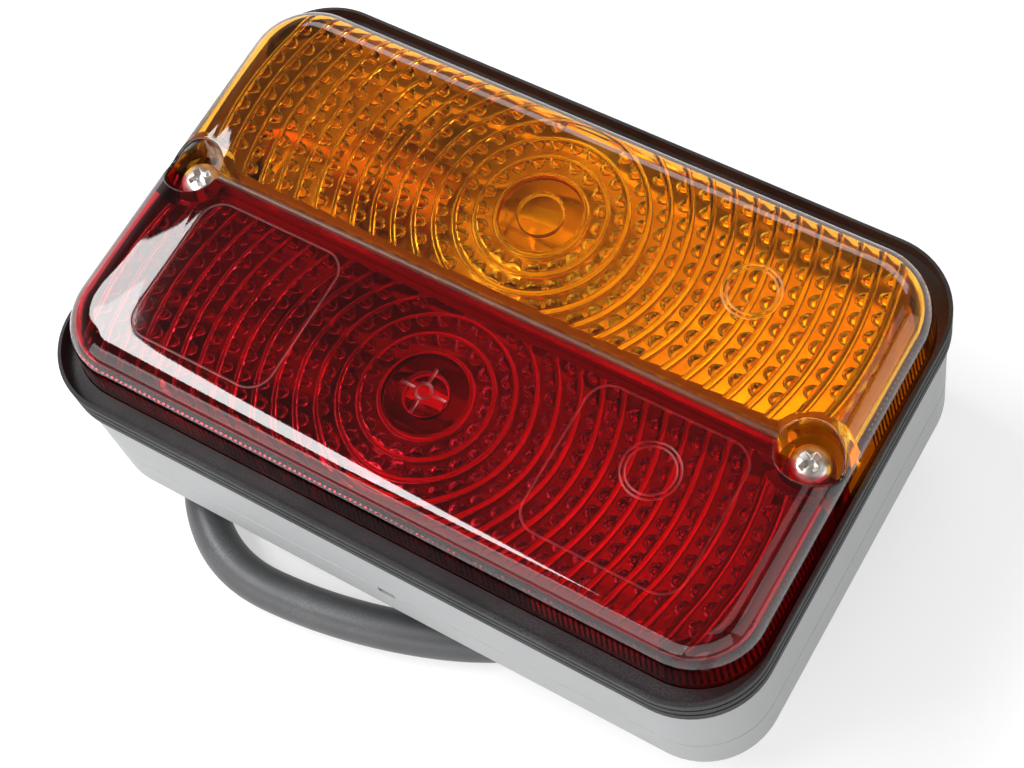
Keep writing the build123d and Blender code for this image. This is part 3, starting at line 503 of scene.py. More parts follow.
def settled_dust():
    """Colour with pale dust and handling marks in soft patches."""
    tree, start, end = effect("Settled dust", [
        ("Clean", "INPUT", "Color", (0.5, 0.5, 0.5, 1)), ("Dusty", "INPUT", "Color", (0.6, 0.6, 0.6, 1)),
        ("Amount", "INPUT", "Float", 0.4), ("Scale", "INPUT", "Float", 60.0),
        ("Color", "OUTPUT", "Color", None)])
    place = put(tree, "TexCoord").outputs["Object"]
    patches = noise(tree, place, start.outputs["Scale"], detail=6.0, rough=0.65)
    specks = noise(tree, place, SPECK_SCALE, detail=2.0, rough=0.5)
    mask = calc(tree, "MULTIPLY", ramp(tree, patches, *DUST_PATCHES), ramp(tree, specks, *DUST_SPECKS))
    mask = calc(tree, "MULTIPLY", mask, start.outputs["Amount"])
    shown = blend_colours(tree, mask, start.outputs["Clean"], start.outputs["Dusty"])
    tree.links.new(shown, end.inputs["Color"])
    return tree


def plated_metal():
    """Rolled or plated metal: a tone, a roughness and a height with fine streaks."""
    tree, start, end = effect("Plated metal", [
        ("Bright", "INPUT", "Color", (0.8, 0.8, 0.8, 1)), ("Dull", "INPUT", "Color", (0.5, 0.5, 0.5, 1)),
        ("Roughness", "INPUT", "Float", 0.25), ("Scale", "INPUT", "Float", 250.0),
        ("Color", "OUTPUT", "Color", None), ("Roughness", "OUTPUT", "Float", None),
        ("Height", "OUTPUT", "Float", None)])
    place = put(tree, "TexCoord").outputs["Object"]
    stretch = put(tree, "Mapping")
    stretch.inputs["Scale"].default_value = STREAK_STRETCH
    tree.links.new(place, stretch.inputs["Vector"])
    tone = noise(tree, stretch.outputs["Vector"], start.outputs["Scale"], detail=5.0, rough=0.6)
    fine = noise(tree, stretch.outputs["Vector"], STREAK_SCALE, detail=2.0, rough=0.5)
    share = ramp(tree, tone, *DULL_PATCHES)
    shown = blend_colours(tree, share, start.outputs["Bright"], start.outputs["Dull"])
    tree.links.new(shown, end.inputs["Color"])
    rougher = calc(tree, "MULTIPLY", share, DULL_ROUGHER)
    tree.links.new(calc(tree, "ADD", start.outputs["Roughness"], rougher), end.inputs["Roughness"])
    tree.links.new(fine, end.inputs["Height"])
    return tree


EFFECTS = {"Moulded grain": moulded_grain, "Settled dust": settled_dust, "Plated metal": plated_metal}


def place_effect(tree, title, values):
    """Puts a shared effect into a material, with its own values."""
    node = put(tree, "Group")
    node.node_tree = bpy.data.node_groups.get(title) or EFFECTS[title]()
    for key, value in values.items():
        node.inputs[key].default_value = (*value, 1.0) if isinstance(value, tuple) else value
    return node


# Finishes


def fresh_material(name):
    """A material with only its Principled shader, and that shader."""
    made = bpy.data.materials.new(name)
    made.use_nodes = True
    return made, made.node_tree, made.node_tree.nodes["Principled BSDF"]


def bump(tree, shader, height, strength, distance):
    """Feeds a height to the shader's normal."""
    node = put(tree, "Bump")
    node.inputs["Strength"].default_value = strength
    node.inputs["Distance"].default_value = distance
    tree.links.new(height, node.inputs["Height"])
    tree.links.new(node.outputs["Normal"], shader.inputs["Normal"])


def paler(colour):
    """A colour moved towards pale dust."""
    return tuple(c + (DUST_GREY - c) * DUST_SHARE for c in colour)


def moulded_plastic(name, colour, rough, grain, depth, dust, gloss):
    """Moulded plastic or rubber with grain and a little dust."""
    made, tree, shader = fresh_material(name)
    texture = place_effect(tree, "Moulded grain", {"Scale": grain, "Roughness": rough, "Spread": 0.16})
    cover = place_effect(tree, "Settled dust", {"Clean": colour, "Dusty": paler(colour), "Amount": dust})
    tree.links.new(cover.outputs["Color"], shader.inputs["Base Color"])
    tree.links.new(texture.outputs["Roughness"], shader.inputs["Roughness"])
    shader.inputs["Specular IOR Level"].default_value = gloss
    bump(tree, shader, texture.outputs["Height"], strength=0.5, distance=depth)
    return made


def metal(name, bright, dull, rough):
    """Plated or rolled metal."""
    made, tree, shader = fresh_material(name)
    texture = place_effect(tree, "Plated metal", {"Bright": bright, "Dull": dull, "Roughness": rough})
    tree.links.new(texture.outputs["Color"], shader.inputs["Base Color"])
    tree.links.new(texture.outputs["Roughness"], shader.inputs["Roughness"])
    shader.inputs["Metallic"].default_value = 1.0
    bump(tree, shader, texture.outputs["Height"], strength=0.3, distance=STREAK_DEPTH)
    return made


def clear_moulding(name, tint, through, rough=0.03, coat=0.0):
    """Clear tinted moulding that lets the lights reach what is behind it."""
    made, tree, shader = fresh_material(name)
    cover = place_effect(tree, "Settled dust", {
        "Clean": tint, "Dusty": tuple(CLEAR_DUST * c for c in tint), "Amount": 0.12, "Scale": 120.0})
    texture = place_effect(tree, "Moulded grain", {"Scale": 420.0, "Roughness": rough, "Spread": 0.04})
    tree.links.new(cover.outputs["Color"], shader.inputs["Base Color"])
    tree.links.new(texture.outputs["Roughness"], shader.inputs["Roughness"])
    shader.inputs["Transmission Weight"].default_value = 1.0
    shader.inputs["IOR"].default_value = CLEAR_BEND
    shader.inputs["Coat Weight"].default_value = coat
    bump(tree, shader, texture.outputs["Height"], strength=0.08, distance=CLEAR_GRAIN)
    clear = put(tree, "BsdfTransparent")
    clear.inputs["Color"].default_value = (*through, 1.0)
    pick = put(tree, "MixShader")
    tree.links.new(put(tree, "LightPath").outputs["Is Shadow Ray"], pick.inputs["Fac"])
    tree.links.new(shader.outputs["BSDF"], pick.inputs[1])
    tree.links.new(clear.outputs["BSDF"], pick.inputs[2])
    tree.links.new(pick.outputs["Shader"], tree.nodes["Material Output"].inputs["Surface"])
    return made


def finish_named(name):
    """The lamp's finish of that name, made on first use."""
    ready = bpy.data.materials.get("finish_" + name)
    return ready or make_finish(name)


def make_finish(name):
    """Makes one finish of the lamp."""
    hues = bpy.context.scene.lamp_colours
    title = "finish_" + name
    for hue in ("amber", "red"):
        if name.startswith(hue + "_lens"):
            tint = tuple(getattr(hues, hue))
            # The share lightens or darkens the same tint by skin part: painted highlight on beads and
            # marks, painted shade on the darker fields, scallops and seams.
            rough, share = LENS_SKIN_ROUGHNESS_AND_PAINTED_LIGHT[name]
            shown = tuple(min(1.0, share * c) for c in tint)
            coat = LENS_COAT if name.endswith("lens") else 0.0
            through = tuple(math.sqrt(c) for c in tint)
            return clear_moulding(title, shown, through, rough, coat)
    if name == "bulb_glass":
        return clear_moulding(title, (0.96, 0.97, 0.97), (0.97, 0.98, 0.98))
    # Colour, roughness, scale and depth of the grain, dust
    plastics = {
        "rim_rubber": (tuple(hues.rubber), 0.62, 900.0, 0.00004, 0.25),
        "grey_plastic": (tuple(hues.grey), 0.5, 1500.0, 0.00003, 0.25),
        "insulator": ((0.16, 0.075, 0.035), 0.55, 700.0, 0.00003, 0.3),
        "wire_amber": ((0.62, 0.27, 0.02), 0.4, 500.0, 0.00002, 0.2),
        "wire_red": ((0.42, 0.015, 0.015), 0.4, 500.0, 0.00002, 0.2),
        "wire_black": ((0.02, 0.02, 0.02), 0.4, 500.0, 0.00002, 0.3),
        "boot_rubber": ((0.03, 0.03, 0.032), 0.5, 900.0, 0.00004, 0.5),
        "cable_sleeve": (tuple(hues.sleeve), 0.42, 700.0, 0.00004, 0.35),
        "plug_plastic": ((0.022, 0.022, 0.023), 0.45, 1300.0, 0.00003, 0.3),
    }
    if name in plastics:
        colour, rough, grain, depth, dust = plastics[name]
        gloss = RUBBER_GLOSS if "rubber" in name else PLASTIC_GLOSS
        return moulded_plastic(title, colour, rough, grain, depth, dust, gloss)
    # Bright colour, dull colour, roughness
    metals = {
        "zinc": (tuple(hues.zinc), (0.6, 0.59, 0.53), 0.28),
        "steel": ((0.4, 0.4, 0.39), (0.24, 0.24, 0.24), 0.36),
        "brass": ((0.5, 0.35, 0.13), (0.3, 0.2, 0.08), 0.34),
        "reflector": ((0.94, 0.94, 0.93), (0.88, 0.88, 0.87), 0.28),
        "filament": ((0.35, 0.35, 0.36), (0.2, 0.2, 0.2), 0.4),
    }
    bright, dull, rough = metals[name]
    return metal(title, bright, dull, rough)


# Lens optics


def scallop_cutter(sizes):
    """Half-round cutter with its flat side on the ring line and its nose towards +X."""
    leave_edit()
    bpy.ops.mesh.primitive_uv_sphere_add(segments=14, ring_count=8, radius=1.0)
    cutter = bpy.context.object
    rise = sizes.scallop_depth + SCALLOP_SINK * MM
    edit_whole(cutter)
    bpy.ops.transform.resize(value=(sizes.scallop_length, sizes.scallop_width / 2, rise))
    bpy.ops.mesh.bisect(plane_co=(0, 0, 0), plane_no=(1, 0, 0), use_fill=True, clear_inner=True)
    bpy.ops.mesh.select_all(action="SELECT")
    base = -SCALLOP_BELLY * rise
    bpy.ops.mesh.bisect(plane_co=(0, 0, base), plane_no=(0, 0, 1), use_fill=True, clear_inner=True)
    bpy.ops.object.mode_set(mode="OBJECT")
    return cutter


def in_field(x, y):
    """Whether a point lies in the amber half's ring field, in millimetres."""
    if math.hypot(abs(x) - SCREW_X, y) < BOSS_R + BOSS_CLEAR:
        return False
    over_x = abs(x) - (FIELD_X - FIELD_CORNER)
    over_y = y - (FIELD_Y - FIELD_CORNER)
    if over_x > 0 and over_y > 0:
        return math.hypot(over_x, over_y) < FIELD_CORNER
    return abs(x) < FIELD_X and y < FIELD_Y


def ring_scallops(sizes):
    """All scallops of the amber half, joined, cut off square along the seam's plain band."""
    one = scallop_cutter(sizes)
    reach = sizes.scallop_length / MM
    half = sizes.scallop_width / MM / 2
    near = SCALLOP_NOSE[0] * reach
    wide = SCALLOP_NOSE[1] * half
    outline = [(0.0, half), (0.0, -half), (near, wide), (near, -wide), (reach, 0.0)]
    level = LENS_INSIDE - RING_THIN - SCALLOP_SINK
    placed = []
    for ring in range(PLAIN_RINGS, RING_COUNT + 1):
        r = RING_FIRST + ring * RING_PITCH
        count = max(FEWEST_SCALLOPS, round(2 * math.pi * r * MM / sizes.scallop_spacing))
        for step in range(count):
            angle = math.pi + 2 * math.pi * step / count
            spot = Matrix.Translation((r * math.cos(angle), LAMP_Y + r * math.sin(angle), level))
            spot = spot @ Matrix.Rotation(angle + math.pi, 4, "Z") @ Matrix.Rotation(TOOTH_SLOPE, 4, "Y")
            corners = [spot @ Vector((x, y, 0)) for x, y in outline]
            middle = spot @ Vector((SCALLOP_MIDDLE * reach, 0, 0))
            off_seam = middle.y > SEAM_WALL + SEAM_CLEAR
            if off_seam and all(in_field(c.x, max(c.y, SEAM_WALL)) for c in corners):
                placed.append(copy_of(one, in_metres(spot)))
    discard(one)
    whole = join_all(placed, "scallop_cutters")
    edit_whole(whole)
    bpy.ops.mesh.bisect(plane_co=(0, (SEAM_WALL + SEAM_STRIP) * MM, 0), plane_no=(0, 1, 0), use_fill=True,
                        clear_inner=True)
    bpy.ops.object.mode_set(mode="OBJECT")
    return whole


def ring_beads(sizes):
    """Rounded beads along the ring lines of the amber half, ending inside its walls."""
    leave_edit()
    rings = []
    level = (LENS_INSIDE - RING_DEPTH + BEAD_LIFT) * MM
    for ring in range(RING_COUNT):
        r = RING_FIRST + ring * RING_PITCH + RING_DRAFT
        bpy.ops.mesh.primitive_torus_add(
            major_segments=48 + 6 * ring, minor_segments=14, major_radius=r * MM, minor_radius=sizes.bead,
            location=(0, LAMP_Y * MM, level))
        rings.append(bpy.context.object)
        set_places(rings[-1])
    beads = join_all(rings, "ring_beads")
    low = SEAM_WALL - BEAD_ROOT
    high = FIELD_Y + BEAD_REACH
    bpy.ops.mesh.primitive_cube_add(size=1.0, location=(0, (low + high) / 2 * MM, level))
    room = bpy.context.object
    edit_whole(room)
    bpy.ops.transform.resize(value=(2 * (FIELD_X + BEAD_REACH) * MM, (high - low) * MM, BEAD_ROOM * MM))
    bpy.ops.object.mode_set(mode="OBJECT")
    set_places(room)
    combine(beads, room, "INTERSECT")
    discard(room)
    for side in (-1, 1):
        bpy.ops.mesh.primitive_cylinder_add(
            vertices=48, radius=(BOSS_R - BEAD_ROOT) * MM, depth=BOSS_TALL * MM,
            location=(side * SCREW_X * MM, 0, level))
        boss = bpy.context.object
        set_places(boss)
        cut(beads, boss)
        discard(boss)
    return beads


def wall_ribs(sizes):
    """Square-edged grooves, point inwards, that leave fine ribs on the amber half's inner wall."""
    leave_edit()
    tilt = math.radians(WALL_DRAFT)
    bpy.ops.mesh.primitive_cylinder_add(
        vertices=4, radius=sizes.rib_depth, depth=(RIB_HIGH - RIB_LOW) / math.cos(tilt) * MM)
    one = bpy.context.object
    set_places(one)
    pitch = sizes.rib_pitch / MM
    middle = (RIB_LOW + RIB_HIGH) / 2
    sink = (middle - WALL_FOOT) * math.tan(tilt)
    lean = Matrix.Translation((0, 0, middle)) @ Matrix.Rotation(-tilt, 4, "Y")
    spots = []
    side = int((WALL_X - WALL_CORNER) / pitch)
    for step in range(-side, side + 1):
        spots.append((step * pitch, WALL_Y - sink, math.pi / 2))
    arc = WALL_CORNER - sink
    turns = round(arc * math.pi / 2 / pitch)
    for step in range(1, turns):
        angle = math.pi / 2 * step / turns
        x = WALL_X - WALL_CORNER + arc * math.cos(angle)
        y = WALL_Y - WALL_CORNER + arc * math.sin(angle)
        spots += [(x, y, angle), (-x, y, math.pi - angle)]
    for step in range(int((WALL_Y - WALL_CORNER - RIB_END) / pitch)):
        y = WALL_Y - WALL_CORNER - step * pitch
        spots += [(WALL_X - sink, y, 0.0), (sink - WALL_X, y, math.pi)]
    placed = []
    for x, y, angle in spots:
        spot = Matrix.Translation((x, y, 0)) @ Matrix.Rotation(angle, 4, "Z") @ lean
        placed.append(copy_of(one, in_metres(spot)))
    discard(one)
    return join_all(placed, "rib_cutters")


def ring_mark(x, y, diameter, line):
    """Cutter for a thin circle in the lens face."""
    leave_edit()
    bpy.ops.mesh.primitive_torus_add(
        major_segments=56, minor_segments=8, major_radius=diameter / 2 * MM, minor_radius=line / 2,
        location=(x * MM, y * MM, LENS_TOP * MM))
    mark = bpy.context.object
    set_places(mark)
    return mark


def field_mark(low, high, line):
    """Cutter for a thin rounded-square outline in the lens face."""
    leave_edit()
    middle = [(a + b) / 2 * MM for a, b in zip(low, high)]
    bpy.ops.mesh.primitive_plane_add(size=1.0, location=(*middle, LENS_TOP * MM))
    edit_whole(bpy.context.object)
    bpy.ops.transform.resize(value=((high[0] - low[0]) * MM, (high[1] - low[1]) * MM, 1.0))
    bpy.ops.mesh.bevel(offset=OUTLINE_CORNER * MM, segments=8, affect="VERTICES")
    bpy.ops.mesh.select_all(action="SELECT")
    bpy.ops.mesh.delete(type="ONLY_FACE")
    bpy.ops.object.mode_set(mode="OBJECT")
    bpy.ops.object.convert(target="CURVE")
    outline = bpy.context.object.data
    outline.bevel_depth = line / 2
    outline.bevel_resolution = 1
    bpy.ops.object.convert(target="MESH")
    mark = bpy.context.object
    set_places(mark)
    mend_normals(mark)
    return mark


def cross_mark():
    """Cutter for the small cross with a ring at the red half's centre."""
    leave_edit()
    parts = []
    for turn in range(4):
        angle = turn * math.pi / 2
        at = Vector((math.cos(angle), math.sin(angle), 0)) * CROSS_ARM_AT
        bpy.ops.mesh.primitive_cube_add(
            size=1.0, location=(at.x * MM, (at.y - LAMP_Y) * MM, LENS_TOP * MM), rotation=(0, 0, angle))
        arm = bpy.context.object
        edit_whole(arm)
        bpy.ops.transform.resize(value=[size * MM for size in CROSS_ARM], orient_type="LOCAL")
        bpy.ops.mesh.bevel(offset=CROSS_EDGE * MM, segments=2, affect="EDGES")
        bpy.ops.object.mode_set(mode="OBJECT")
        set_places(arm)
        parts.append(arm)
    eye = ring_mark(0, -LAMP_Y, CROSS_RING, CROSS_LINE * MM)
    for arm in parts:
        combine(eye, arm, "UNION")
    discard(*parts)
    return eye


def is_inside(spot):
    """Whether a point of the lens skin, in millimetres, lies on its inner side."""
    shrink = (spot.z - WALL_FOOT) * math.tan(math.radians(WALL_DRAFT)) - WALL_SPARE
    in_plan = abs(spot.x) < WALL_X - shrink and SEAM_WALL - SEAM_SPARE < abs(spot.y) < WALL_Y - shrink
    off_boss = math.hypot(abs(spot.x) - SCREW_X, spot.y) > BOSS_R - BOSS_SPARE
    return in_plan and off_boss and spot.z < LENS_INSIDE + ROOF_SPARE


def in_scallop(spot):
    """Whether a point of the inner skin, in millimetres, lies in a scallop and not on a plain slope."""
    r = math.hypot(spot.x, abs(spot.y) - LAMP_Y)
    if r < RING_FIRST:
        return spot.z > LENS_INSIDE + CENTRE_RISE
    to_next = RING_PITCH - (r - RING_FIRST) % RING_PITCH
    return spot.z > LENS_INSIDE - RING_THIN - to_next * math.tan(TOOTH_SLOPE) + SCALLOP_RISE


def on_bead(spot):
    """Whether a point of the inner skin, in millimetres, lies on a ring line's bead."""
    r = math.hypot(spot.x, abs(spot.y) - LAMP_Y)
    on_line = (r - RING_FIRST + BEAD_BEFORE) % RING_PITCH < BEAD_ACROSS
    return on_line and spot.z < LENS_INSIDE - RING_DEPTH + BEAD_TIP


def on_seam(spot, normal):
    """Whether a point of the skin, in millimetres, lies on the seam's rounding or its wall."""
    if abs(spot.x) >= SCREW_X - BOSS_R + SEAM_PAST_BOSS:
        return False
    if abs(spot.y) < SEAM_ROUND and spot.z > LENS_TOP - SEAM_ROUND and normal.z < FLAT_UP:
        return True
    return SEAM_WALL_SKIN[0] < abs(spot.y) < SEAM_WALL_SKIN[1] and spot.z < LENS_INSIDE


def in_mark(spot):
    """Whether a point of the outer skin, in millimetres, lies in a mark cut into the lens face."""
    on_face = abs(spot.x) < MARKED_X and MARKED_Y[0] < abs(spot.y) < MARKED_Y[1]
    return on_face and LENS_TOP - MARK_DEPTH[1] < spot.z < LENS_TOP - MARK_DEPTH[0]


def lens_skin(spot, normal):
    """Which of the lens finishes a face gets, from its place in millimetres and its normal."""
    if on_seam(spot, normal):
        return SEAM
    if not is_inside(spot):
        return MARK if in_mark(spot) else CLEAR
    if on_bead(spot):
        return RING
    if spot.z > LENS_INSIDE - RING_DEPTH and in_scallop(spot):
        return SCALLOP
    return FIELD if normal.z < FACING_DOWN else CLEAR


def dress_lens(node, name, beads, cutters, sizes):
    """Makes a lens half from its CAD node: optics, marks, seam clearance and its finishes."""
    lens = node_copy(node, name)
    toward = 1.0 if node == "amber_lens" else -1.0
    for corner in lens.data.vertices:
        if abs(corner.co.y) < SAME_PLACE:
            corner.co.y = toward * sizes.seam_gap
    for cutter in cutters:
        cut(lens, cutter)
    combine(lens, beads, "UNION")
    take(lens)
    bpy.ops.object.shade_smooth_by_angle(angle=math.radians(LENS_SMOOTH))
    lens.data.materials.clear()
    for skin in SKINS:
        lens.data.materials.append(finish_named(node + skin))
    for face in lens.data.polygons:
        face.material_index = lens_skin(face.center / MM, face.normal)
    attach(lens, "root")
    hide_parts(node)


def mirrored(cutter):
    """The same cutter for the other half."""
    twin = copy_of(cutter, Matrix.Scale(-1, 4, (0, 1, 0)))
    mend_normals(twin)
    return twin


class LAMP_OT_lenses(bpy.types.Operator):
    """Gives both lens halves their ring beads, scallops, wall ribs and plain marks"""

    bl_idname = "lamp.lenses"
    bl_label = "Lens halves"

    def execute(self, context):
        sizes = context.scene.lamp_sizes
        scallops = ring_scallops(sizes)
        ribs = wall_ribs(sizes)
        line = sizes.mark_line
        amber_marks = [ring_mark(*AMBER_CIRCLE, size, line) for size in CIRCLE_SIZES]
        red_marks = [ring_mark(*RED_CIRCLE, size, line) for size in CIRCLE_SIZES]
        red_marks += [field_mark(low, high, line) for low, high in RED_OUTLINES]
        red_marks.append(cross_mark())
        beads = ring_beads(sizes)
        dress_lens("amber_lens", "amber_lens_optics", beads, [scallops, ribs, *amber_marks], sizes)
        twins = [mirrored(scallops), mirrored(ribs)]
        red_beads = mirrored(beads)
        dress_lens("red_lens", "red_lens_optics", red_beads, [*twins, *red_marks], sizes)
        discard(scallops, ribs, beads, red_beads, *twins, *amber_marks, *red_marks)
        return {"FINISHED"}


# Screws and cable


def choose_downward(obj):
    """Selects in edit mode only the faces that look straight down."""
    bpy.ops.mesh.select_mode(type="FACE")
    bpy.ops.mesh.select_all(action="DESELECT")
    bpy.ops.object.mode_set(mode="OBJECT")
    for face in obj.data.polygons:
        face.select = face.normal.z < STRAIGHT_DOWN
    bpy.ops.object.mode_set(mode="EDIT")


def cross_recess(depth, span, width):
    """Cutter for a cross recess: two wings that narrow downwards, centred on the origin."""
    wings = []
    for turn in (0.0, math.pi / 2):
        leave_edit()
        bpy.ops.mesh.primitive_cube_add(size=1.0)
        wing = bpy.context.object
        edit_whole(wing)
        bpy.ops.transform.resize(value=(span, width, 2 * depth))
        choose_downward(wing)
        bpy.ops.transform.resize(value=RECESS_TAPER)
        bpy.ops.object.mode_set(mode="OBJECT")
        wing.data.transform(Matrix.Rotation(turn, 4, "Z"))
        wings.append(wing)
    combine(wings[0], wings[1], "UNION")
    discard(wings[1])
    return wings[0]


def pan_head_screw(sizes):
    """A domed screw with a cross recess, its head's seat at z = 0."""
    leave_edit()
    r = sizes.screw_head / 2
    bpy.ops.mesh.primitive_uv_sphere_add(segments=48, ring_count=24, radius=1.0)
    screw = bpy.context.object
    edit_whole(screw)
    bpy.ops.transform.resize(value=(r, r, HEAD_DOME * MM))
    bpy.ops.mesh.bisect(plane_co=(0, 0, 0), plane_no=(0, 0, 1), use_fill=True, clear_inner=True)
    bpy.ops.mesh.select_all(action="SELECT")
    bpy.ops.transform.translate(value=(0, 0, HEAD_EDGE * MM))
    choose_downward(screw)
    for drop, shrink in ((HEAD_EDGE, 1.0), (0.0, SHANK_R * MM / r), (SHANK, 1.0)):
        bpy.ops.mesh.extrude_region_move(TRANSFORM_OT_translate={"value": (0, 0, -drop * MM)})
        bpy.ops.transform.resize(value=(shrink, shrink, 1.0))
    bpy.ops.object.mode_set(mode="OBJECT")
    mend_normals(screw)
    recess = cross_recess(RECESS_DEPTH * MM, RECESS_SPAN * MM, RECESS_WIDTH * MM)
    recess.data.transform(Matrix.Translation((0, 0, (HEAD_EDGE + HEAD_DOME + RECESS_OVER) * MM)))
    mend_normals(recess)
    cut(screw, recess)
    discard(recess)
    use_modifier(screw, "BEVEL", limit_method="ANGLE", angle_limit=math.radians(HEAD_SMOOTH),
                 width=HEAD_ROUND * MM, segments=2)
    return screw


class LAMP_OT_screws(bpy.types.Operator):
    """Makes the two domed screws that hold the lens halves"""

    bl_idname = "lamp.screws"
    bl_label = "Lens screws"

    def execute(self, context):
        one = pan_head_screw(context.scene.lamp_sizes)
        pair = []
        for x, turn in SCREW_TURNS:
            seat = Matrix.Translation((x * MM, 0, SCREW_SEAT * MM))
            pair.append(copy_of(one, seat @ Matrix.Rotation(math.radians(turn), 4, "Z")))
        discard(one)
        screws = join_all(pair, "lens_screws_domed")
        bpy.ops.object.shade_smooth_by_angle(angle=math.radians(HEAD_SMOOTH))
        wear_finish(screws, finish_named("zinc"))
        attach(screws, "root")
        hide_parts("lens_screws")
        return {"FINISHED"}


class LAMP_OT_cable(bpy.types.Operator):
    """Lays the sleeved cable from its boot to the plug"""

    bl_idname = "lamp.cable"
    bl_label = "Cable sleeve"

    def execute(self, context):
        sizes = context.scene.lamp_sizes
        leave_edit()
        line = bpy.data.curves.new("cable_sleeve_line", "CURVE")
        line.dimensions = "3D"
        line.resolution_u = 24
        line.bevel_depth = sizes.cable_diameter / 2
        line.bevel_resolution = 8
        line.use_fill_caps = True
        spline = line.splines.new("NURBS")
        spline.points.add(len(CABLE_ROUTE) - 1)
        for point, (x, y) in zip(spline.points, CABLE_ROUTE):
            point.co = (x * MM, y * MM, CABLE_Z * MM, 1.0)
        spline.order_u = 3
        spline.use_endpoint_u = True
        sleeve = bpy.data.objects.new("cable_sleeve_soft", line)
        context.collection.objects.link(sleeve)
        wear_finish(sleeve, finish_named("cable_sleeve"))
        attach(sleeve, "root")
        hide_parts("cable_sleeve")
        x, y = CABLE_ROUTE[0]
        return {"FINISHED"}


class LAMP_OT_carried_finishes(bpy.types.Operator):
    """Gives every CAD node that stays in view its finish"""

    bl_idname = "lamp.carried_finishes"
    bl_label = "Finishes of the carried parts"

    def execute(self, context):
        for part in frame["record"]["subparts"]:
            wear_finish(NODES[part["node"]], finish_named(part["material_slot"]))
        return {"FINISHED"}


# Studio, panel and registration


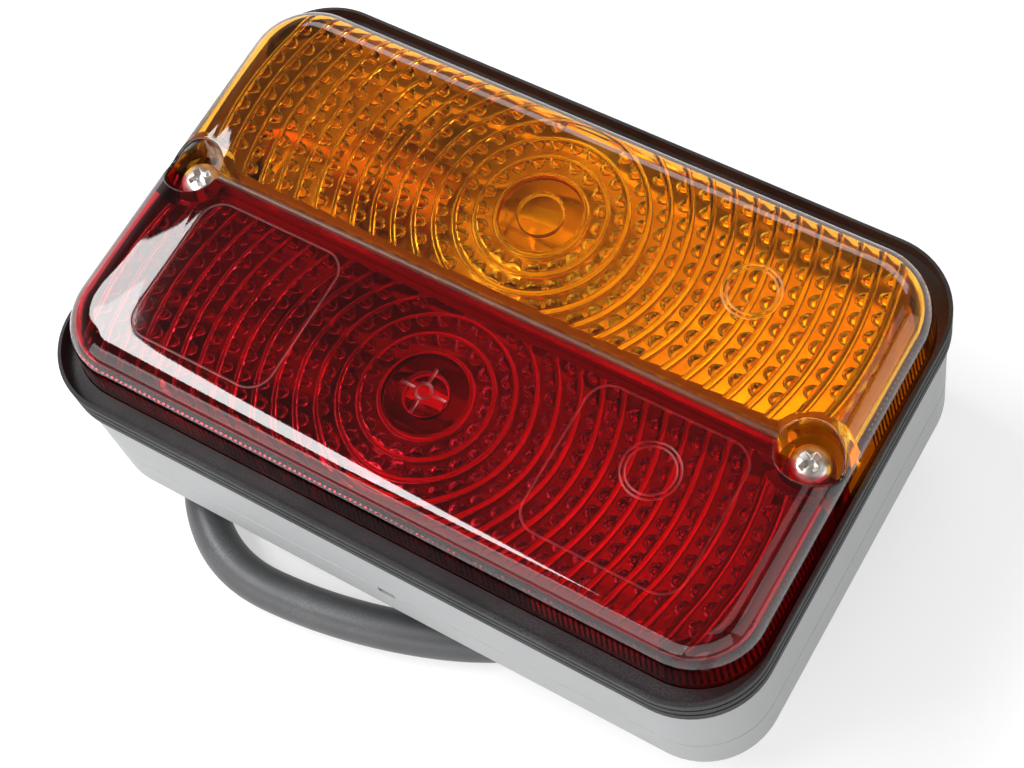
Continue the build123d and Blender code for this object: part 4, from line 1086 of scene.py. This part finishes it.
class LAMP_OT_studio(bpy.types.Operator):
    """Sets the camera, the floor, the lights and the room"""

    bl_idname = "lamp.studio"
    bl_label = "Studio"

    def execute(self, context):
        studio = context.scene.lamp_studio
        self.place_camera(context)
        self.make_floor(studio)
        for name, at, faced, width, height, source, share, turn in LIGHTS:
            power = share * getattr(studio, source)
            self.hang_light(context, name, at, faced, width, height, power, turn)
        self.fill_room(context, studio.room_level)
        context.scene.view_settings.view_transform = "Standard"
        return {"FINISHED"}

    def place_camera(self, context):
        """The camera at the photograph's place, with its lens and small shift."""
        lens = bpy.data.cameras.new("lamp_camera")
        lens.sensor_width = CAMERA_SENSOR
        lens.lens = CAMERA_LENS
        lens.shift_x, lens.shift_y = CAMERA_SHIFT
        lens.clip_start, lens.clip_end = CAMERA_CLIP
        camera = bpy.data.objects.new("lamp_camera", lens)
        context.collection.objects.link(camera)
        turn = Matrix((CAMERA_RIGHT, CAMERA_UP, CAMERA_BACK)).transposed().to_4x4()
        camera.matrix_world = Matrix.Translation(CAMERA_AT) @ turn
        context.scene.camera = camera

    def make_floor(self, studio):
        """A round pale floor that glows only to the camera, in reflections and through clear parts."""
        leave_edit()
        bpy.ops.mesh.primitive_circle_add(vertices=96, radius=FLOOR_RADIUS, fill_type="NGON",
                                          location=(0, 0, studio.floor_level))
        floor = bpy.context.object
        floor.name = "studio_floor"
        set_places(floor)
        material, tree, shader = fresh_material("studio_paper")
        texture = place_effect(tree, "Moulded grain", {"Scale": 90.0, "Roughness": 0.85, "Spread": 0.1})
        tree.links.new(texture.outputs["Roughness"], shader.inputs["Roughness"])
        shader.inputs["Base Color"].default_value = (FLOOR_GREY, FLOOR_GREY, FLOOR_GREY, 1.0)
        shader.inputs["Emission Color"].default_value = (1.0, 1.0, 1.0, 1.0)
        rays = put(tree, "LightPath")
        seen = calc(tree, "MAXIMUM", rays.outputs["Is Camera Ray"], rays.outputs["Is Glossy Ray"])
        seen = calc(tree, "MAXIMUM", seen, rays.outputs["Is Transmission Ray"])
        tree.links.new(calc(tree, "MULTIPLY", seen, FLOOR_GLOW), shader.inputs["Emission Strength"])
        wear_finish(floor, material)

    def hang_light(self, context, name, at, faced, width, height, power, turn):
        """A soft rectangular light that faces a point, or straight down with a turn about the vertical."""
        light = bpy.data.lights.new(name, "AREA")
        light.shape = "RECTANGLE"
        light.size = width
        light.size_y = height
        light.energy = power
        holder = bpy.data.objects.new(name, light)
        context.collection.objects.link(holder)
        holder.location = at
        holder.rotation_euler = (0, 0, math.radians(turn))
        if faced:
            holder.rotation_euler = (Vector(faced) - Vector(at)).to_track_quat("-Z", "Y").to_euler()

    def fill_room(self, context, level):
        """A pale room that is dimmer overhead."""
        room = bpy.data.worlds.new("studio_room")
        room.use_nodes = True
        tree = room.node_tree
        shade = tree.nodes["Background"]
        shade.inputs["Color"].default_value = (1.0, 1.0, 1.0, 1.0)
        split = put(tree, "SeparateXYZ")
        tree.links.new(put(tree, "TexCoord").outputs["Generated"], split.inputs["Vector"])
        fade = ramp(tree, split.outputs["Z"], *ROOM_DIMS, level, ROOM_OVERHEAD * level)
        tree.links.new(fade, shade.inputs["Strength"])
        context.scene.world = room


class LAMP_PT_dress(bpy.types.Panel):
    """Lists the lamp's pieces, sizes and colours"""

    bl_idname = "LAMP_PT_dress"
    bl_label = "Rear Lamp"
    bl_space_type = "VIEW_3D"
    bl_region_type = "UI"
    bl_category = "Rear Lamp"

    def draw(self, context):
        for name in STEPS:
            self.layout.operator("lamp." + name)
        for group in (context.scene.lamp_sizes, context.scene.lamp_colours, context.scene.lamp_studio):
            box = self.layout.box()
            for key in group.bl_rna.properties.keys():
                if key not in ("rna_type", "name"):
                    box.prop(group, key)


STEPS = ("studio", "cable", "carried_finishes", "screws", "lenses")
CLASSES = (LampSizes, LampColours, LampStudio, LAMP_OT_studio, LAMP_OT_cable, LAMP_OT_carried_finishes,
           LAMP_OT_screws, LAMP_OT_lenses, LAMP_PT_dress)


def register():
    """Registers the add-on and hangs its settings on the scene."""
    for cls in CLASSES:
        bpy.utils.register_class(cls)
    bpy.types.Scene.lamp_sizes = PointerProperty(type=LampSizes)
    bpy.types.Scene.lamp_colours = PointerProperty(type=LampColours)
    bpy.types.Scene.lamp_studio = PointerProperty(type=LampStudio)


def unregister():
    """Takes the settings and the classes away again."""
    del bpy.types.Scene.lamp_studio
    del bpy.types.Scene.lamp_colours
    del bpy.types.Scene.lamp_sizes
    for cls in reversed(CLASSES):
        bpy.utils.unregister_class(cls)


def main():
    """Dresses the lamp."""
    register()
    for name in STEPS:
        getattr(bpy.ops.lamp, name)()


if __name__ == "__main__":
    main()
